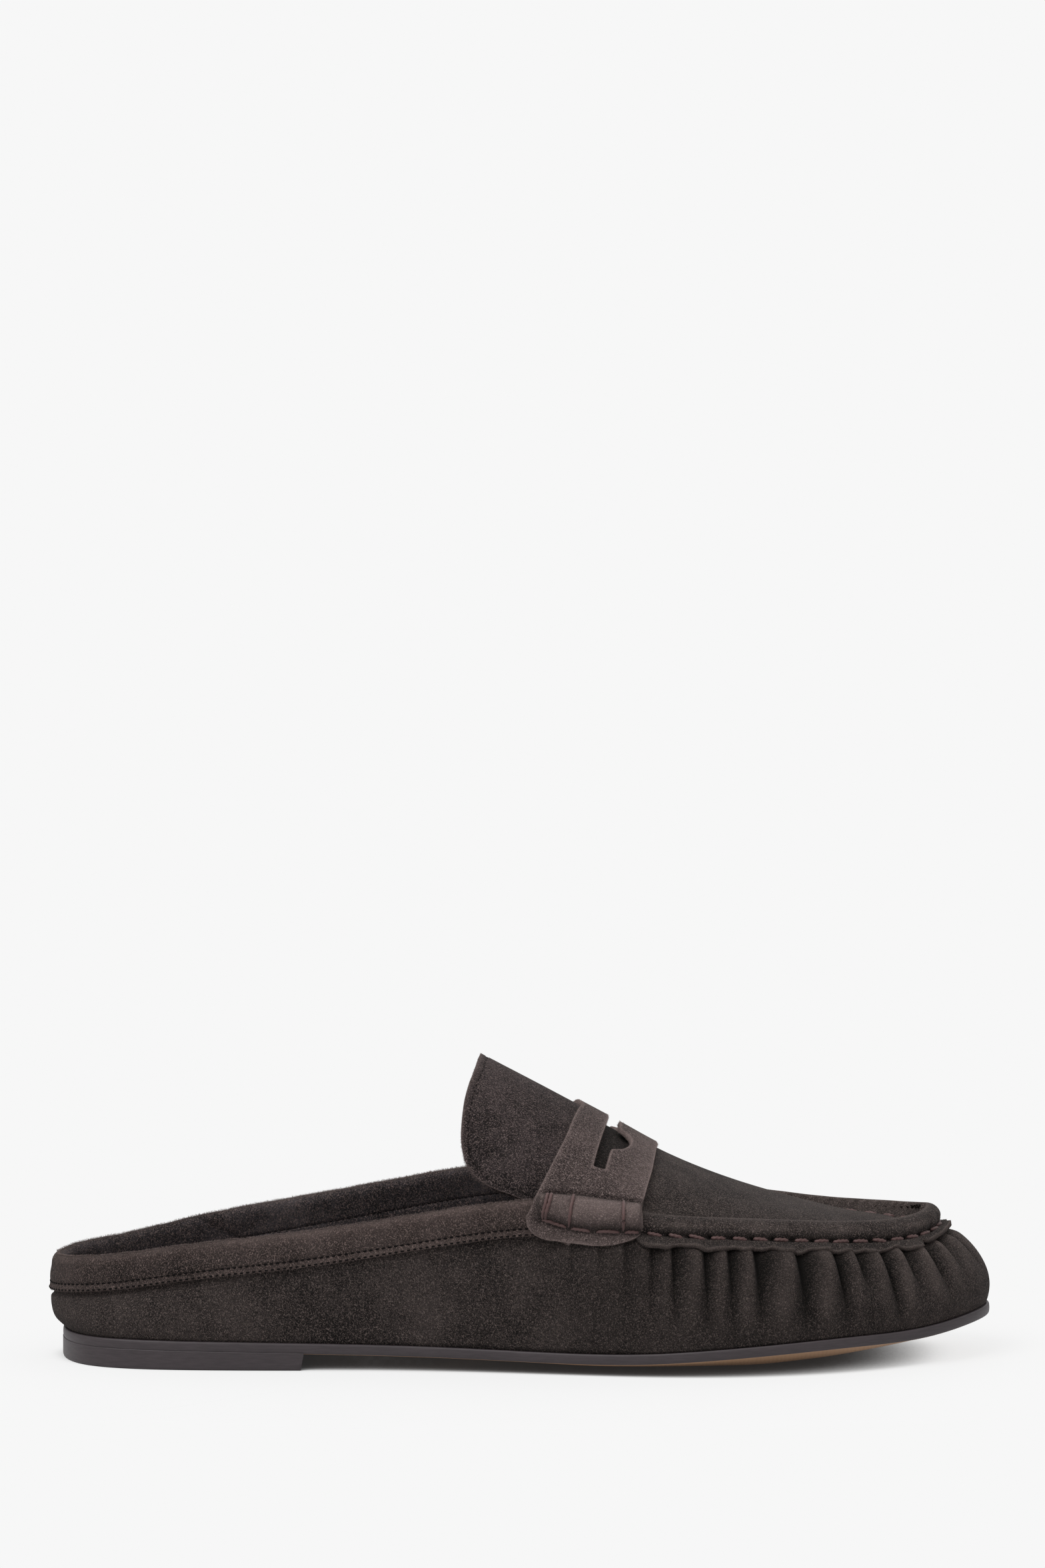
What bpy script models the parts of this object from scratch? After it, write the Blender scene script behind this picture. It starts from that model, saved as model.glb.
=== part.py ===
"""Loafer mule for a right foot, about size 38: a suede moccasin upper on a thin leather sole.

It stands on its sole, with the toe at +X, the foot's outer side at -Y and the floor at Z = 0.
"""
import math

import bmesh
import bpy
import numpy as np
from mathutils import Vector

# Driving sizes, in millimetres
MM = 0.001
GAP = 0.3                # clearance where two pieces meet
STRIP_GAP = 0.45         # the same under the strap and the binding, whose facets cross the wall's
WALL = 2.0               # suede and lining of the upper
SOLE = 3.0               # sole leather
INSOLE = 2.5             # footbed sheet
LEDGE = 0.8              # the sole's edge stands out this far past the foot of the wall
TONGUE = 1.8             # tongue leather and lining
STRAP = 1.6              # strap leather
BINDING = 1.0            # suede strip folded over the collar
BAND = 9.3               # depth of that strip on the outside
INSOLE_CLEAR = 0.9       # room between the footbed and the wall
INSOLE_LIFT = 0.45       # and under it, over the sole's facets
WELD = 0.01              # points closer than this are one

# The wall, one row for each section, from the heel's back along the outer side to the toe and home
# along the inner side. The foot of the wall stands on the sole at (x, y, seat), leans out by its
# belly, and ends at its rim: the collar's edge behind the strap, the crest of the seam before it.
SECTIONS = (         # x, y, seat, belly, rim_x, rim_y, rim_z
    (-123.5, 1.0, 8.0, 3.9, -126.4, 1.0, 26.3),     # heel back
    (-118.6, -16.8, 8.0, 3.2, -120.6, -13.0, 27.4),
    (-104.6, -25.4, 8.0, 2.2, -107.0, -20.6, 29.4),
    (-86.0, -28.0, 7.8, 1.8, -87.0, -26.2, 32.9),
    (-64.0, -28.6, 7.5, 1.6, -64.0, -29.8, 36.0),   # heel breast
    (-40.0, -29.0, 7.1, 1.6, -40.0, -31.0, 39.6),
    (-16.0, -31.4, 6.6, 1.6, -16.0, -32.2, 43.6),   # waist
    (8.0, -36.0, 6.1, 1.6, 8.0, -33.6, 46.0),       # strap
    (30.0, -40.3, 6.2, 1.6, 29.0, -33.8, 44.2),
    (50.0, -42.0, 7.4, 1.6, 48.0, -31.6, 42.3),     # ball
    (70.0, -40.2, 8.9, 1.8, 66.0, -28.2, 41.2),
    (90.0, -33.6, 10.0, 2.2, 83.0, -22.4, 39.8),
    (108.0, -22.4, 10.6, 2.6, 98.0, -14.8, 39.0),
    (121.4, -8.6, 12.4, 3.0, 107.6, -5.2, 39.4),
    (127.3, 7.0, 13.3, 3.3, 110.6, 5.6, 40.2),      # toe tip
    (122.8, 20.4, 12.8, 3.0, 107.8, 14.6, 39.3),
    (111.0, 30.0, 11.2, 2.6, 99.0, 20.6, 38.9),
    (93.0, 37.4, 10.0, 2.2, 84.0, 26.0, 39.1),
    (72.0, 41.4, 8.9, 1.8, 67.0, 29.4, 40.6),
    (51.0, 42.0, 7.6, 1.6, 49.0, 31.4, 42.4),       # ball
    (30.0, 39.0, 6.8, 1.6, 29.0, 32.0, 44.8),
    (8.0, 33.4, 7.0, 1.6, 8.0, 31.6, 47.4),         # strap
    (-16.0, 29.0, 7.4, 1.6, -16.0, 30.6, 45.6),     # arch
    (-40.0, 27.0, 7.6, 1.6, -40.0, 29.8, 41.4),
    (-64.0, 27.2, 7.8, 1.6, -64.0, 28.8, 37.2),     # heel breast
    (-86.0, 26.8, 7.8, 1.8, -87.0, 25.8, 33.2),
    (-104.6, 24.4, 8.0, 2.2, -107.0, 20.4, 29.2),
    (-118.6, 17.2, 8.0, 3.2, -120.6, 14.0, 27.4),
)
FOOT, BELLY, RIM = slice(0, 3), slice(3, 4), slice(4, 7)
AROUND = len(SECTIONS)
TOE = AROUND // 2
BELLY_AT = 0.36          # height of the belly, as a share of the wall's
SHOULDER = 0.8           # the wall's top rounds out over this share of its lean
SHOULDER_AT = 0.2        # and over this share of its height

# Heights along the middle of the shoe
CROWN = (                # x and z of the instep line, on the apron and the tongue
    (-24.0, 89.6), (24.0, 64.0), (40.0, 55.0), (52.0, 49.6), (64.0, 45.2), (78.0, 41.0),
    (92.0, 38.0), (104.0, 37.4), (112.0, 39.4),
)
KEEL = (                 # x and z of the sole's underside, level at the heel and under the ball
    (-125.0, 4.9), (-58.0, 4.9), (-30.0, 3.6), (0.0, 1.2), (22.0, 0.0), (60.0, 0.0),
    (80.0, 1.5), (100.0, 4.4), (128.0, 10.4),
)
TREAD = 0.42             # share of the sole's half width that is level from side to side
CAMBER = 1.7             # how the sole's edges curl up beyond that
BREAST = -58.5           # front face of the heel lift
BREAST_RAKE = 0.8        # its foot stands this far back
ARCH = 0.75              # roundness of the instep from side to side

# The raised seam between wall and apron
RIDGE_OUT = 3.8          # from the crest out to the stitch line
RIDGE_DROP = 4.9         # and down to it
RIDGE_ROUND = 0.6        # how round its outer face is
COLLAR_OUT = 0.5         # the same step at the collar, where the wall runs straight up
LIP = 2.5                # cut edge of both leathers below the stitches
LIP_WAY = (0.85, 0.5)    # out and down

# Places along the perimeter, in rows of the wall's table from the heel's back
BAND_END = 6.8           # the collar's shape ends under the strap's tab
SEAM_START = 7.7         # and the seam has its full shape from here to the toe
LIP_START, LIP_FULL = 8.1, 8.5
THROAT = 23 / 3          # back edge of the apron, under the strap
TONGUE_FRONT = THROAT - 0.055

# The tongue's free edge: share of the half width from the middle, and the place along the shoe
TONGUE_EDGE = (
    (0.0, -10.8), (0.3, -11.8), (0.6, -14.6), (0.78, -16.3), (0.88, -13.6), (0.94, -6.0), (1.0, 8.0),
)
TONGUE_CLEAR = 4.2       # its sides hang this far inside the wall
TONGUE_TUCK = 5.0        # and this far below the rim

# The strap from the instep's middle to the end of its tab: place across, back edge, front edge.
# From 0 to 1 it lies on the instep, to 2 on the seam's outer face and to 3 it hangs over the wall.
STRAP_OUTLINE = (
    (0.0, 16.7, 36.6), (0.6, 12.4, 35.4), (0.88, 8.4, 33.8), (1.0, 4.6, 32.8), (1.5, 2.4, 32.8),
    (2.0, 2.0, 32.8), (2.4, 3.8, 31.8), (2.75, 8.0, 29.0), (3.0, 14.0, 25.0),
)
TAB_HANG = 0.15          # share of the wall's height that the tab covers
TAB_FLARE = 1.0          # and how far its end stands off
SLOT_AT = 25.2           # middle of the keeper slot, on the instep line
SLOT_WIDE, SLOT_LONG = 1.7, 26.5     # halves of the slit
SLOT_SWEEP = 1.8         # its ends lie this far forward
SLOT_STEPS = 36
NOTCH_DEEP, NOTCH_LONG = 4.2, 6.6    # two half moons in its front edge, depth and half length
NOTCH_SIDE = 13.0        # their middles from the slit's middle
NOTCH_ROUND = 0.5
SLOT_DEEP = 14.0         # half the cutter's depth

# How finely each piece is cut up
STATIONS = 84            # sections of the wall, three to a row of its table
WALL_ROWS = np.array((0, 0.1, 0.25, 0.42, 0.6, 0.77, 0.93, 0.945, 0.985, 1, 1.35, 1.7, 2))
LIP_ROWS = (7, 8)        # the two rows that are drawn out into the lip
APRON_ACROSS = 16
SOLE_SHARES = np.array((-1, -0.9, -0.76, -0.6, -TREAD, 0, TREAD, 0.6, 0.76, 0.9, 1))
INSOLE_SHARES = np.array((-1, -0.8, -TREAD, TREAD, 0.8, 1))
HEEL_SHARES = np.array((-1, -TREAD, TREAD, 1))
SOLE_COLUMNS, INSOLE_COLUMNS, HEEL_COLUMNS = 40, 28, 14
TONGUE_ACROSS, TONGUE_COLUMNS = 22, 8
TAB_PLACES = np.array((3, 2.75, 2.4, 2, 1.65, 1.3))      # in line with the wall's rows
STRAP_ACROSS, STRAP_COLUMNS = 16, 8
BINDING_STATIONS = np.arange(-19, 20) * AROUND / STATIONS    # in line with the wall's

STEP = 0.01              # small step along a surface, for its direction
UP = np.array((0.0, 0.0, 1.0))


def closed_curve(rows):
    """A smooth closed curve through the rows, one row to each unit of its parameter."""
    rows = np.array(rows, float)
    count = len(rows)
    links = 4 * np.eye(count) + np.roll(np.eye(count), 1, 0) + np.roll(np.eye(count), -1, 0)
    slopes = np.linalg.solve(links, 3 * (np.roll(rows, -1, 0) - np.roll(rows, 1, 0)))

    def at(u):
        u = np.asarray(u, float)
        first = np.floor(u).astype(int)
        t = (u - first)[..., None]
        a, b = first % count, (first + 1) % count
        back, ahead = (1 - t) ** 2, t ** 2
        return (rows[a] * (1 + 2 * t) * back + slopes[a] * t * back
                + rows[b] * (3 - 2 * t) * ahead - slopes[b] * (1 - t) * ahead)

    return at


def open_curve(rows):
    """A smooth line through rows of two columns that stays level where two rows are level."""
    x, z = np.array(rows, float).T
    run = np.diff(x)
    grade = np.diff(z) / run
    slope = np.concatenate((grade[:1], np.zeros(len(x) - 2), grade[-1:]))
    for i in range(1, len(x) - 1):
        if grade[i - 1] * grade[i] > 0:
            slope[i] = 2 * grade[i - 1] * grade[i] / (grade[i - 1] + grade[i])

    def at(where):
        where = np.clip(where, x[0], x[-1])
        i = np.clip(np.searchsorted(x, where, "right") - 1, 0, len(run) - 1)
        t = (where - x[i]) / run[i]
        return (z[i] * (1 + 2 * t) * (1 - t) ** 2 + slope[i] * run[i] * t * (1 - t) ** 2
                + z[i + 1] * (3 - 2 * t) * t ** 2 - slope[i + 1] * run[i] * (1 - t) * t ** 2)

    return at


def ramp(low, high, value):
    """0 below low, 1 above high and a soft rise between them."""
    t = np.clip((value - low) / (high - low), 0, 1)
    return t * t * (3 - 2 * t)


def bezier(a, b, c, d, t):
    """A cubic curve from a to d, drawn towards b and c."""
    t = t[..., None]
    return a * (1 - t) ** 3 + 3 * b * t * (1 - t) ** 2 + 3 * c * t ** 2 * (1 - t) + d * t ** 3


def unit(vectors):
    return vectors / np.linalg.norm(vectors, axis=-1, keepdims=True)


section = closed_curve(SECTIONS)
crown = open_curve(CROWN)
keel = open_curve(KEEL)
tongue_edge = open_curve(TONGUE_EDGE)
strap_back = open_curve([row[:2] for row in STRAP_OUTLINE])
strap_front = open_curve([row[::2] for row in STRAP_OUTLINE])


def from_heel(u):
    """Rows from the heel's back, the same on both sides of the shoe."""
    return TOE - np.abs(np.mod(u, AROUND) - TOE)


def row_at(x):
    """The row of the wall's table, on the outer side, whose rim is at x."""
    return np.interp(x, [row[RIM][0] for row in SECTIONS[:TOE + 1]], range(TOE + 1))


def outward(u, line):
    """Level direction out of the shoe from a line of the table, its foot or its rim."""
    ahead = unit((section(u + STEP) - section(u - STEP))[..., line][..., :2])
    return np.stack((ahead[..., 1], -ahead[..., 0], np.zeros(ahead.shape[:-1])), -1)


def wall(u, q):
    """The upper's outside: q goes from 0 at the sole to 1 at the stitch line and 2 at the rim."""
    u, q = np.broadcast_arrays(np.asarray(u, float), np.asarray(q, float))
    row = section(u)
    foot = row[..., FOOT] + GAP * UP
    top = row[..., RIM]
    foot_out, top_out = outward(u, FOOT), outward(u, RIM)
    seam = ramp(BAND_END, SEAM_START, from_heel(u))[..., None]
    out = COLLAR_OUT + (RIDGE_OUT - COLLAR_OUT) * seam
    drop = BAND + (RIDGE_DROP - BAND) * seam
    stitch = top + out * top_out - drop * UP
    height = (stitch - foot)[..., 2:]
    lean = np.clip(np.sum((foot - stitch) * foot_out, -1, keepdims=True), 0, None)
    belly = foot + row[..., BELLY] * foot_out + BELLY_AT * height * UP
    shoulder = stitch + SHOULDER * lean * foot_out - SHOULDER_AT * height * UP
    lower = bezier(foot, belly, shoulder, stitch, np.clip(q, 0, 1))
    steep = stitch + RIDGE_ROUND * drop * UP
    crest = top + RIDGE_ROUND * seam * out * top_out - (1 - RIDGE_ROUND) * (1 - seam) * drop * UP
    upper = bezier(stitch, steep, crest, top, np.clip(q - 1, 0, 1))
    return np.where(q[..., None] <= 1, lower, upper)


def wall_normal(u, q):
    """Outward direction of the wall."""
    along = wall(u + STEP, q) - wall(u - STEP, q)
    return unit(np.cross(along, wall(u, min(q + STEP, 2)) - wall(u, max(q - STEP, 0))))


def arch(left, right, share):
    """A line over the foot between two points, share going from -1 to 1."""
    share = np.asarray(share)[..., None]
    middle = (left + right) / 2
    rise = crown(middle[..., :1]) - middle[..., 2:]
    return middle + (right - left) / 2 * share + (1 - share ** 2) ** ARCH * rise * UP


def instep(c, share):
    """The apron's outside at row c from rim to rim, carried on behind the throat."""
    return arch(section(c)[..., RIM], section(AROUND - c)[..., RIM], share)


def over_foot(c, place):
    """The way of the strap: the instep, then the seam's outer face, then down over the wall."""
    c, place = np.broadcast_arrays(c, place)
    u = np.where(place < 0, c, AROUND - c)
    beyond = np.abs(place)
    hang = np.clip(beyond - 2, 0, 1)
    side = wall(u, np.where(beyond > 2, 1 - TAB_HANG * hang, 3 - np.clip(beyond, 1, 2)))
    side = side + TAB_FLARE * hang[..., None] * outward(u, RIM)
    return np.where(beyond[..., None] <= 1, instep(c, np.clip(place, -1, 1)), side)


def sole_top(c, shares, out):
    """The sole's upper face at row c, from its outer to its inner edge, out past the wall's foot."""
    left, right = (section(u)[FOOT] + out * outward(u, FOOT) for u in (c, AROUND - c))
    points = left + (right - left) * (1 + shares[:, None]) / 2
    curl = np.clip((np.abs(shares) - TREAD) / (1 - TREAD), 0, 1) ** CAMBER
    ends = ramp(0, 1, c) * ramp(0, 1, TOE - c)
    points[:, 2] += (keel(points[:, 0]) + SOLE - points[:, 2]) * (1 - curl) * ends
    return points


def turned(steps):
    """Shares from -1 to 1 that crowd towards the ends, as round an arch."""
    return np.sin(np.linspace(-math.pi / 2, math.pi / 2, steps + 1))


def add_grid(bm, points):
    """Faces between the rows and columns of a table of points."""
    verts = [[bm.verts.new(point * MM) for point in row] for row in points]
    for low, high in zip(verts, verts[1:]):
        for i in range(len(low) - 1):
            bm.faces.new((low[i], low[i + 1], high[i + 1], high[i]))
    bmesh.ops.remove_doubles(bm, verts=bm.verts, dist=WELD * MM)


def extrude(bm):
    """Draws all faces out into a closed solid and returns the new points."""
    grown = bmesh.ops.extrude_face_region(bm, geom=bm.faces[:])["geom"]
    return [item for item in grown if isinstance(item, bmesh.types.BMVert)]


def finish(bm, name, group, look=None):
    """Turns a bmesh into a named object with its faces outward."""
    bmesh.ops.recalc_face_normals(bm, faces=bm.faces)
    if bm.calc_volume(signed=True) < 0:
        bmesh.ops.reverse_faces(bm, faces=bm.faces)
    mesh = bpy.data.meshes.new(name)
    bm.to_mesh(mesh)
    bm.free()
    mesh.shade_smooth()
    mesh.set_sharp_from_angle(angle=math.radians(40))
    if look:
        mesh.materials.append(look)
    made = bpy.data.objects.new(name, mesh)
    group.objects.link(made)
    return made


def make_sheet(name, points, thickness, over, group, look):
    """A sheet of leather through a table of points, with its thickness over or under it."""
    bm = bmesh.new()
    add_grid(bm, points)
    part = finish(bm, name, group, look)
    if sum(face.normal.z * face.area for face in part.data.polygons) < 0:
        part.data.flip_normals()
    solid = part.modifiers.new("thickness", "SOLIDIFY")
    solid.thickness = thickness * MM
    solid.offset = 1 if over else -1
    return part


def make_outsole(group, look):
    columns = np.linspace(0, TOE, SOLE_COLUMNS + 1)
    sheet = [sole_top(c, SOLE_SHARES, LEDGE) for c in columns]
    make_sheet("outsole", sheet, SOLE, False, group, look)


def make_insole(group, look):
    columns = np.linspace(0, TOE, INSOLE_COLUMNS + 1)
    inside = -WALL - INSOLE_CLEAR
    sheet = [sole_top(c, INSOLE_SHARES, inside) + INSOLE_LIFT * UP for c in columns]
    make_sheet("insole", sheet, INSOLE, True, group, look)


def make_heel(group, look):
    """The lift under the back of the sole, drawn down from the sole's underside to the floor."""
    columns = np.linspace(0, row_at(BREAST), HEEL_COLUMNS + 1)
    bm = bmesh.new()
    add_grid(bm, [sole_top(c, HEEL_SHARES, LEDGE) - (SOLE + GAP) * UP for c in columns])
    back = min(vert.co.x for vert in bm.verts)
    for vert in extrude(bm):
        vert.co.x -= BREAST_RAKE * MM * (vert.co.x - back) / (BREAST * MM - back)
        vert.co.z = 0
    finish(bm, "heel", group, look)


def make_upper(group, look):
    """Wall and apron as one sheet, thickened inwards, with the lip drawn out of its outside."""
    bm = bmesh.new()
    stations = np.arange(STATIONS) * AROUND / STATIONS
    sheet = [[bm.verts.new(point * MM) for point in wall(u, WALL_ROWS)] for u in stations]
    for low, high in zip(sheet, sheet[1:] + sheet[:1]):
        for k in range(len(WALL_ROWS) - 1):
            bm.faces.new((low[k], high[k], high[k + 1], low[k + 1]))
    throat = round(THROAT * STATIONS / AROUND)
    lines = []
    for i in range(throat, STATIONS // 2):
        inner = instep(stations[i], turned(APRON_ACROSS)[1:-1])
        lines.append([sheet[i][-1], *(bm.verts.new(p * MM) for p in inner), sheet[-i][-1]])
    for low, high in zip(lines, lines[1:]):
        for k in range(APRON_ACROSS):
            bm.faces.new((low[k], high[k], high[k + 1], low[k + 1]))
    tip = sheet[STATIONS // 2][-1]
    for k in range(APRON_ACROSS):
        bm.faces.new((lines[-1][k], tip, lines[-1][k + 1]))
    bmesh.ops.recalc_face_normals(bm, faces=bm.faces)
    bmesh.ops.solidify(bm, geom=bm.faces[:], thickness=WALL * MM)
    for u, line in zip(stations, sheet):
        reach = LIP * ramp(LIP_START, LIP_FULL, from_heel(u))
        way = LIP_WAY[0] * outward(u, RIM) - LIP_WAY[1] * UP
        for k in LIP_ROWS:
            line[k].co += Vector(reach * way * MM)
    finish(bm, "upper", group, look)


def make_tongue(group, look):
    """The flap behind the apron, from its hidden front edge to its round free edge."""
    shares = turned(TONGUE_ACROSS)
    free = row_at(tongue_edge(np.abs(shares)))
    sheet = []
    for along in np.linspace(0, 1, TONGUE_COLUMNS + 1):
        c = TONGUE_FRONT + (free - TONGUE_FRONT) * along
        ends = [section(u)[:, RIM] - TONGUE_CLEAR * outward(u, RIM) for u in (c, AROUND - c)]
        sheet.append(arch(ends[0] - TONGUE_TUCK * UP, ends[1] - TONGUE_TUCK * UP, shares))
    make_sheet("tongue", sheet, TONGUE, False, group, look)


def make_binding(group, look):
    """A strip folded over the collar: down its outside, over the edge and down the lining."""
    outside, lining = -STRIP_GAP, WALL + STRIP_GAP
    folds = (            # height on the wall, depth into it, rise above it
        (1.02, outside, 0), (1.5, outside, 0), (1.97, outside, 0),
        (2, 0.1 * WALL, STRIP_GAP), (2, 0.9 * WALL, STRIP_GAP),
        (1.97, lining, 0), (1.5, lining, 0), (1.02, lining, 0),
    )
    sheet = []
    for q, depth, rise in folds:
        end = row_at(strap_back(3 - q) - 2 * GAP - BINDING)
        u = np.array((-end, *BINDING_STATIONS, end))
        sheet.append(wall(u, q) - depth * wall_normal(u, q) + rise * UP)
    make_sheet("collar_binding", sheet, BINDING, True, group, look)


def make_strap(group, look, cutter):
    """The strap over apron and tongue, with a tab over the seam at each end and the keeper slot."""
    places = [*-TAB_PLACES, *turned(STRAP_ACROSS), *TAB_PLACES[::-1]]
    sheet = []
    for place in places:
        edges = row_at(strap_back(abs(place))), row_at(strap_front(abs(place)))
        sheet.append(over_foot(np.linspace(*edges, STRAP_COLUMNS + 1), place))
    sheet = np.array(sheet)
    normal = unit(np.cross(np.gradient(sheet, axis=1), np.gradient(sheet, axis=0)))
    part = make_sheet("saddle_strap", sheet + STRIP_GAP * normal, STRAP, True, group, look)
    part.modifiers.new("keeper slot", "BOOLEAN").object = cutter


def make_slot(group):
    """The cutter of the keeper slot: a slit across the instep with two half moons in its front edge."""
    side = np.linspace(-SLOT_LONG, SLOT_LONG, SLOT_STEPS + 1)
    sweep = SLOT_SWEEP * (side / SLOT_LONG) ** 2
    reach = np.clip(1 - ((np.abs(side) - NOTCH_SIDE) / NOTCH_LONG) ** 2, 0, 1)
    front = sweep + SLOT_WIDE + NOTCH_DEEP * reach ** NOTCH_ROUND
    outline = [*zip(front, side), *zip(sweep[::-1] - SLOT_WIDE, side[::-1])]
    bm = bmesh.new()
    bm.faces.new([bm.verts.new((x * MM, y * MM, -SLOT_DEEP * MM)) for x, y in outline])
    for vert in extrude(bm):
        vert.co.z = SLOT_DEEP * MM
    part = finish(bm, "slot_cutter", group)
    fall = crown(SLOT_AT - 1) - crown(SLOT_AT + 1)
    part.rotation_euler.y = math.atan2(fall, 2)
    part.location = (SLOT_AT * MM, 0, crown(SLOT_AT) * MM)
    part.hide_render = True
    part.display_type = "WIRE"
    return part


def material(name, colour, roughness):
    made = bpy.data.materials.new(name)
    made.use_nodes = True
    shader = made.node_tree.nodes["Principled BSDF"]
    shader.inputs["Base Color"].default_value = (*colour, 1)
    shader.inputs["Roughness"].default_value = roughness
    return made


def collection(name):
    made = bpy.data.collections.new(name)
    bpy.context.scene.collection.children.link(made)
    return made


def main():
    for item in list(bpy.data.objects):
        bpy.data.objects.remove(item, do_unlink=True)
    parts, cutters = collection("loafer_mule"), collection("cutters")
    suede = material("suede", (0.045, 0.036, 0.032), 0.95)
    trim = material("trim_suede", (0.075, 0.058, 0.052), 0.95)
    leather = material("sole_leather", (0.06, 0.05, 0.05), 0.5)
    footbed = material("footbed", (0.03, 0.028, 0.028), 0.8)
    make_outsole(parts, leather)
    make_heel(parts, leather)
    make_insole(parts, footbed)
    make_upper(parts, suede)
    make_tongue(parts, suede)
    make_binding(parts, trim)
    make_strap(parts, trim, make_slot(cutters))


main()
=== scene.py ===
import math

import bpy
import numpy as np
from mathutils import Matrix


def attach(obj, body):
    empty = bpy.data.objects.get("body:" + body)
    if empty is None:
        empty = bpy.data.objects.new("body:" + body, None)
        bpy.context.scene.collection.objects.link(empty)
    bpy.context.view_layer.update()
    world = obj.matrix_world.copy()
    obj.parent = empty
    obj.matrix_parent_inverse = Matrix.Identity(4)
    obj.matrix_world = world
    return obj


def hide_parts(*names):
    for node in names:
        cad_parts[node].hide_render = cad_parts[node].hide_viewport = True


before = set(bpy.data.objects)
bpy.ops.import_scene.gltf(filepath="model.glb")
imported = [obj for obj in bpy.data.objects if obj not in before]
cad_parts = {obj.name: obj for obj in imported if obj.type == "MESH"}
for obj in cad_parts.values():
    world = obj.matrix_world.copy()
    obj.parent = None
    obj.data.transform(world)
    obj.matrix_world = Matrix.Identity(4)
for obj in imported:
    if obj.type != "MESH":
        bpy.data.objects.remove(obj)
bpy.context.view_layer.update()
mm = 0.001
up = np.array((0.0, 0.0, 1.0))
print("frame loaded:", ", ".join(sorted(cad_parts)))


# Camera, light and floor
studio = {
    "aim": (0.8, 0, 41),            # point of the shoe that the camera's place is worked out from, mm
    "elevation": 8.5,               # seen from this far above the level, degrees
    "distance": 6000,
    "aimBelow": 114.8,              # that point lies this far below the middle of the picture
    "pictureHigh": 427.2,           # height of the picture at the shoe
    "floor": 0.12, "floorGlow": 0.78,   # a lit table: its own colour, and the light in it
    "bounce": 0.38,                 # share of that light which reaches the shoe
    "contact": 10,                  # mm round the shoe where that light is shaded
    "contactWaist": 7,              # and so much more behind the ball of the foot
    "ball": (0.02, -0.03),          # m along the shoe, between which it grows
    "open": (0.05, 0.62),           # how open the floor is above where it is in full shade, in full light
    "shadeGlow": 0.02, "shadeRays": 16,
    "plainFrom": (230, 130),        # mm along and across: past this the floor only glows, and renders quickly
    "plainEdge": 0.85,              # the change starts at this part of that
    "plainBounce": 0.48,            # share of its light there which reaches the shoe
    "floorSize": 40,                # m
    "background": 0.93,
    "sky": (0.4, 1.0),              # light from the horizon and from straight above
    "suns": (                       # strength, spread, elevation and azimuth, degrees
        (1.5, 35, 56, -40),
        (0.4, 60, 40, 160),
    ),
}


def makeCamera():
    scene = bpy.context.scene
    scene.view_settings.view_transform = "Standard"
    tilt = math.atan(studio["aimBelow"] / studio["distance"])
    raised = math.radians(studio["elevation"])
    bpy.ops.object.camera_add(rotation=(math.pi / 2 - raised + tilt, 0, 0))
    camera = bpy.context.object
    back = np.array((0, -math.cos(raised), math.sin(raised))) * studio["distance"]
    camera.location = (np.array(studio["aim"]) + back) * mm
    away = studio["distance"] * math.cos(tilt)
    camera.data.lens = camera.data.sensor_width * away / studio["pictureHigh"]
    scene.camera = camera
    print("camera: lens %.1f mm" % camera.data.lens)


def makeFloor():
    bpy.ops.mesh.primitive_plane_add(size=studio["floorSize"])
    floor = bpy.context.object
    floor.name = "floor"
    look = Look("paleFloor")
    look.set("Base Color", grey(studio["floor"]))
    look.set("Roughness", 1)
    look.set("Specular IOR Level", 0)
    along = look.node("ShaderNodeSeparateXYZ", {}, {0: look.place()}, "X")
    reach = (studio["contact"] + along.over(*studio["ball"]) * studio["contactWaist"]) * mm
    rays = {"samples": studio["shadeRays"]}
    # painted contact shadow: an occlusion node darkens the floor's glow round the shoe
    free = look.node("ShaderNodeAmbientOcclusion", rays, {"Distance": reach}, "AO")
    bounced = look.node("ShaderNodeLightPath", {}, {}, "Is Diffuse Ray")
    glow = free.over(*studio["open"]) * (1 - bounced * (1 - studio["bounce"]))
    look.set("Emission Color", look.mix(glow, grey(studio["shadeGlow"]), grey(1)))
    look.set("Emission Strength", studio["floorGlow"])
    # past the shoe's shade it is a plain glow, as bright as the rest
    shape = look.place([1 / (far * mm) for far in studio["plainFrom"]] + [1])
    away = look.node("ShaderNodeVectorMath", {"operation": "LENGTH"}, {0: shape}, "Value")
    glow = look.mix(1 - bounced * (1 - studio["plainBounce"]), grey(0), grey(1))
    plain = look.node("ShaderNodeEmission", {}, {"Color": glow, "Strength": studio["background"]})
    shaded = Value(look, look.shader.outputs[0])
    change = away.over(studio["plainEdge"], 1)
    both = look.node("ShaderNodeMixShader", {}, {0: change, 1: shaded, 2: plain})
    look.put(look.tree.nodes["Material Output"].inputs["Surface"], both)
    floor.data.materials.append(look.material)
    print("floor laid")


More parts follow.
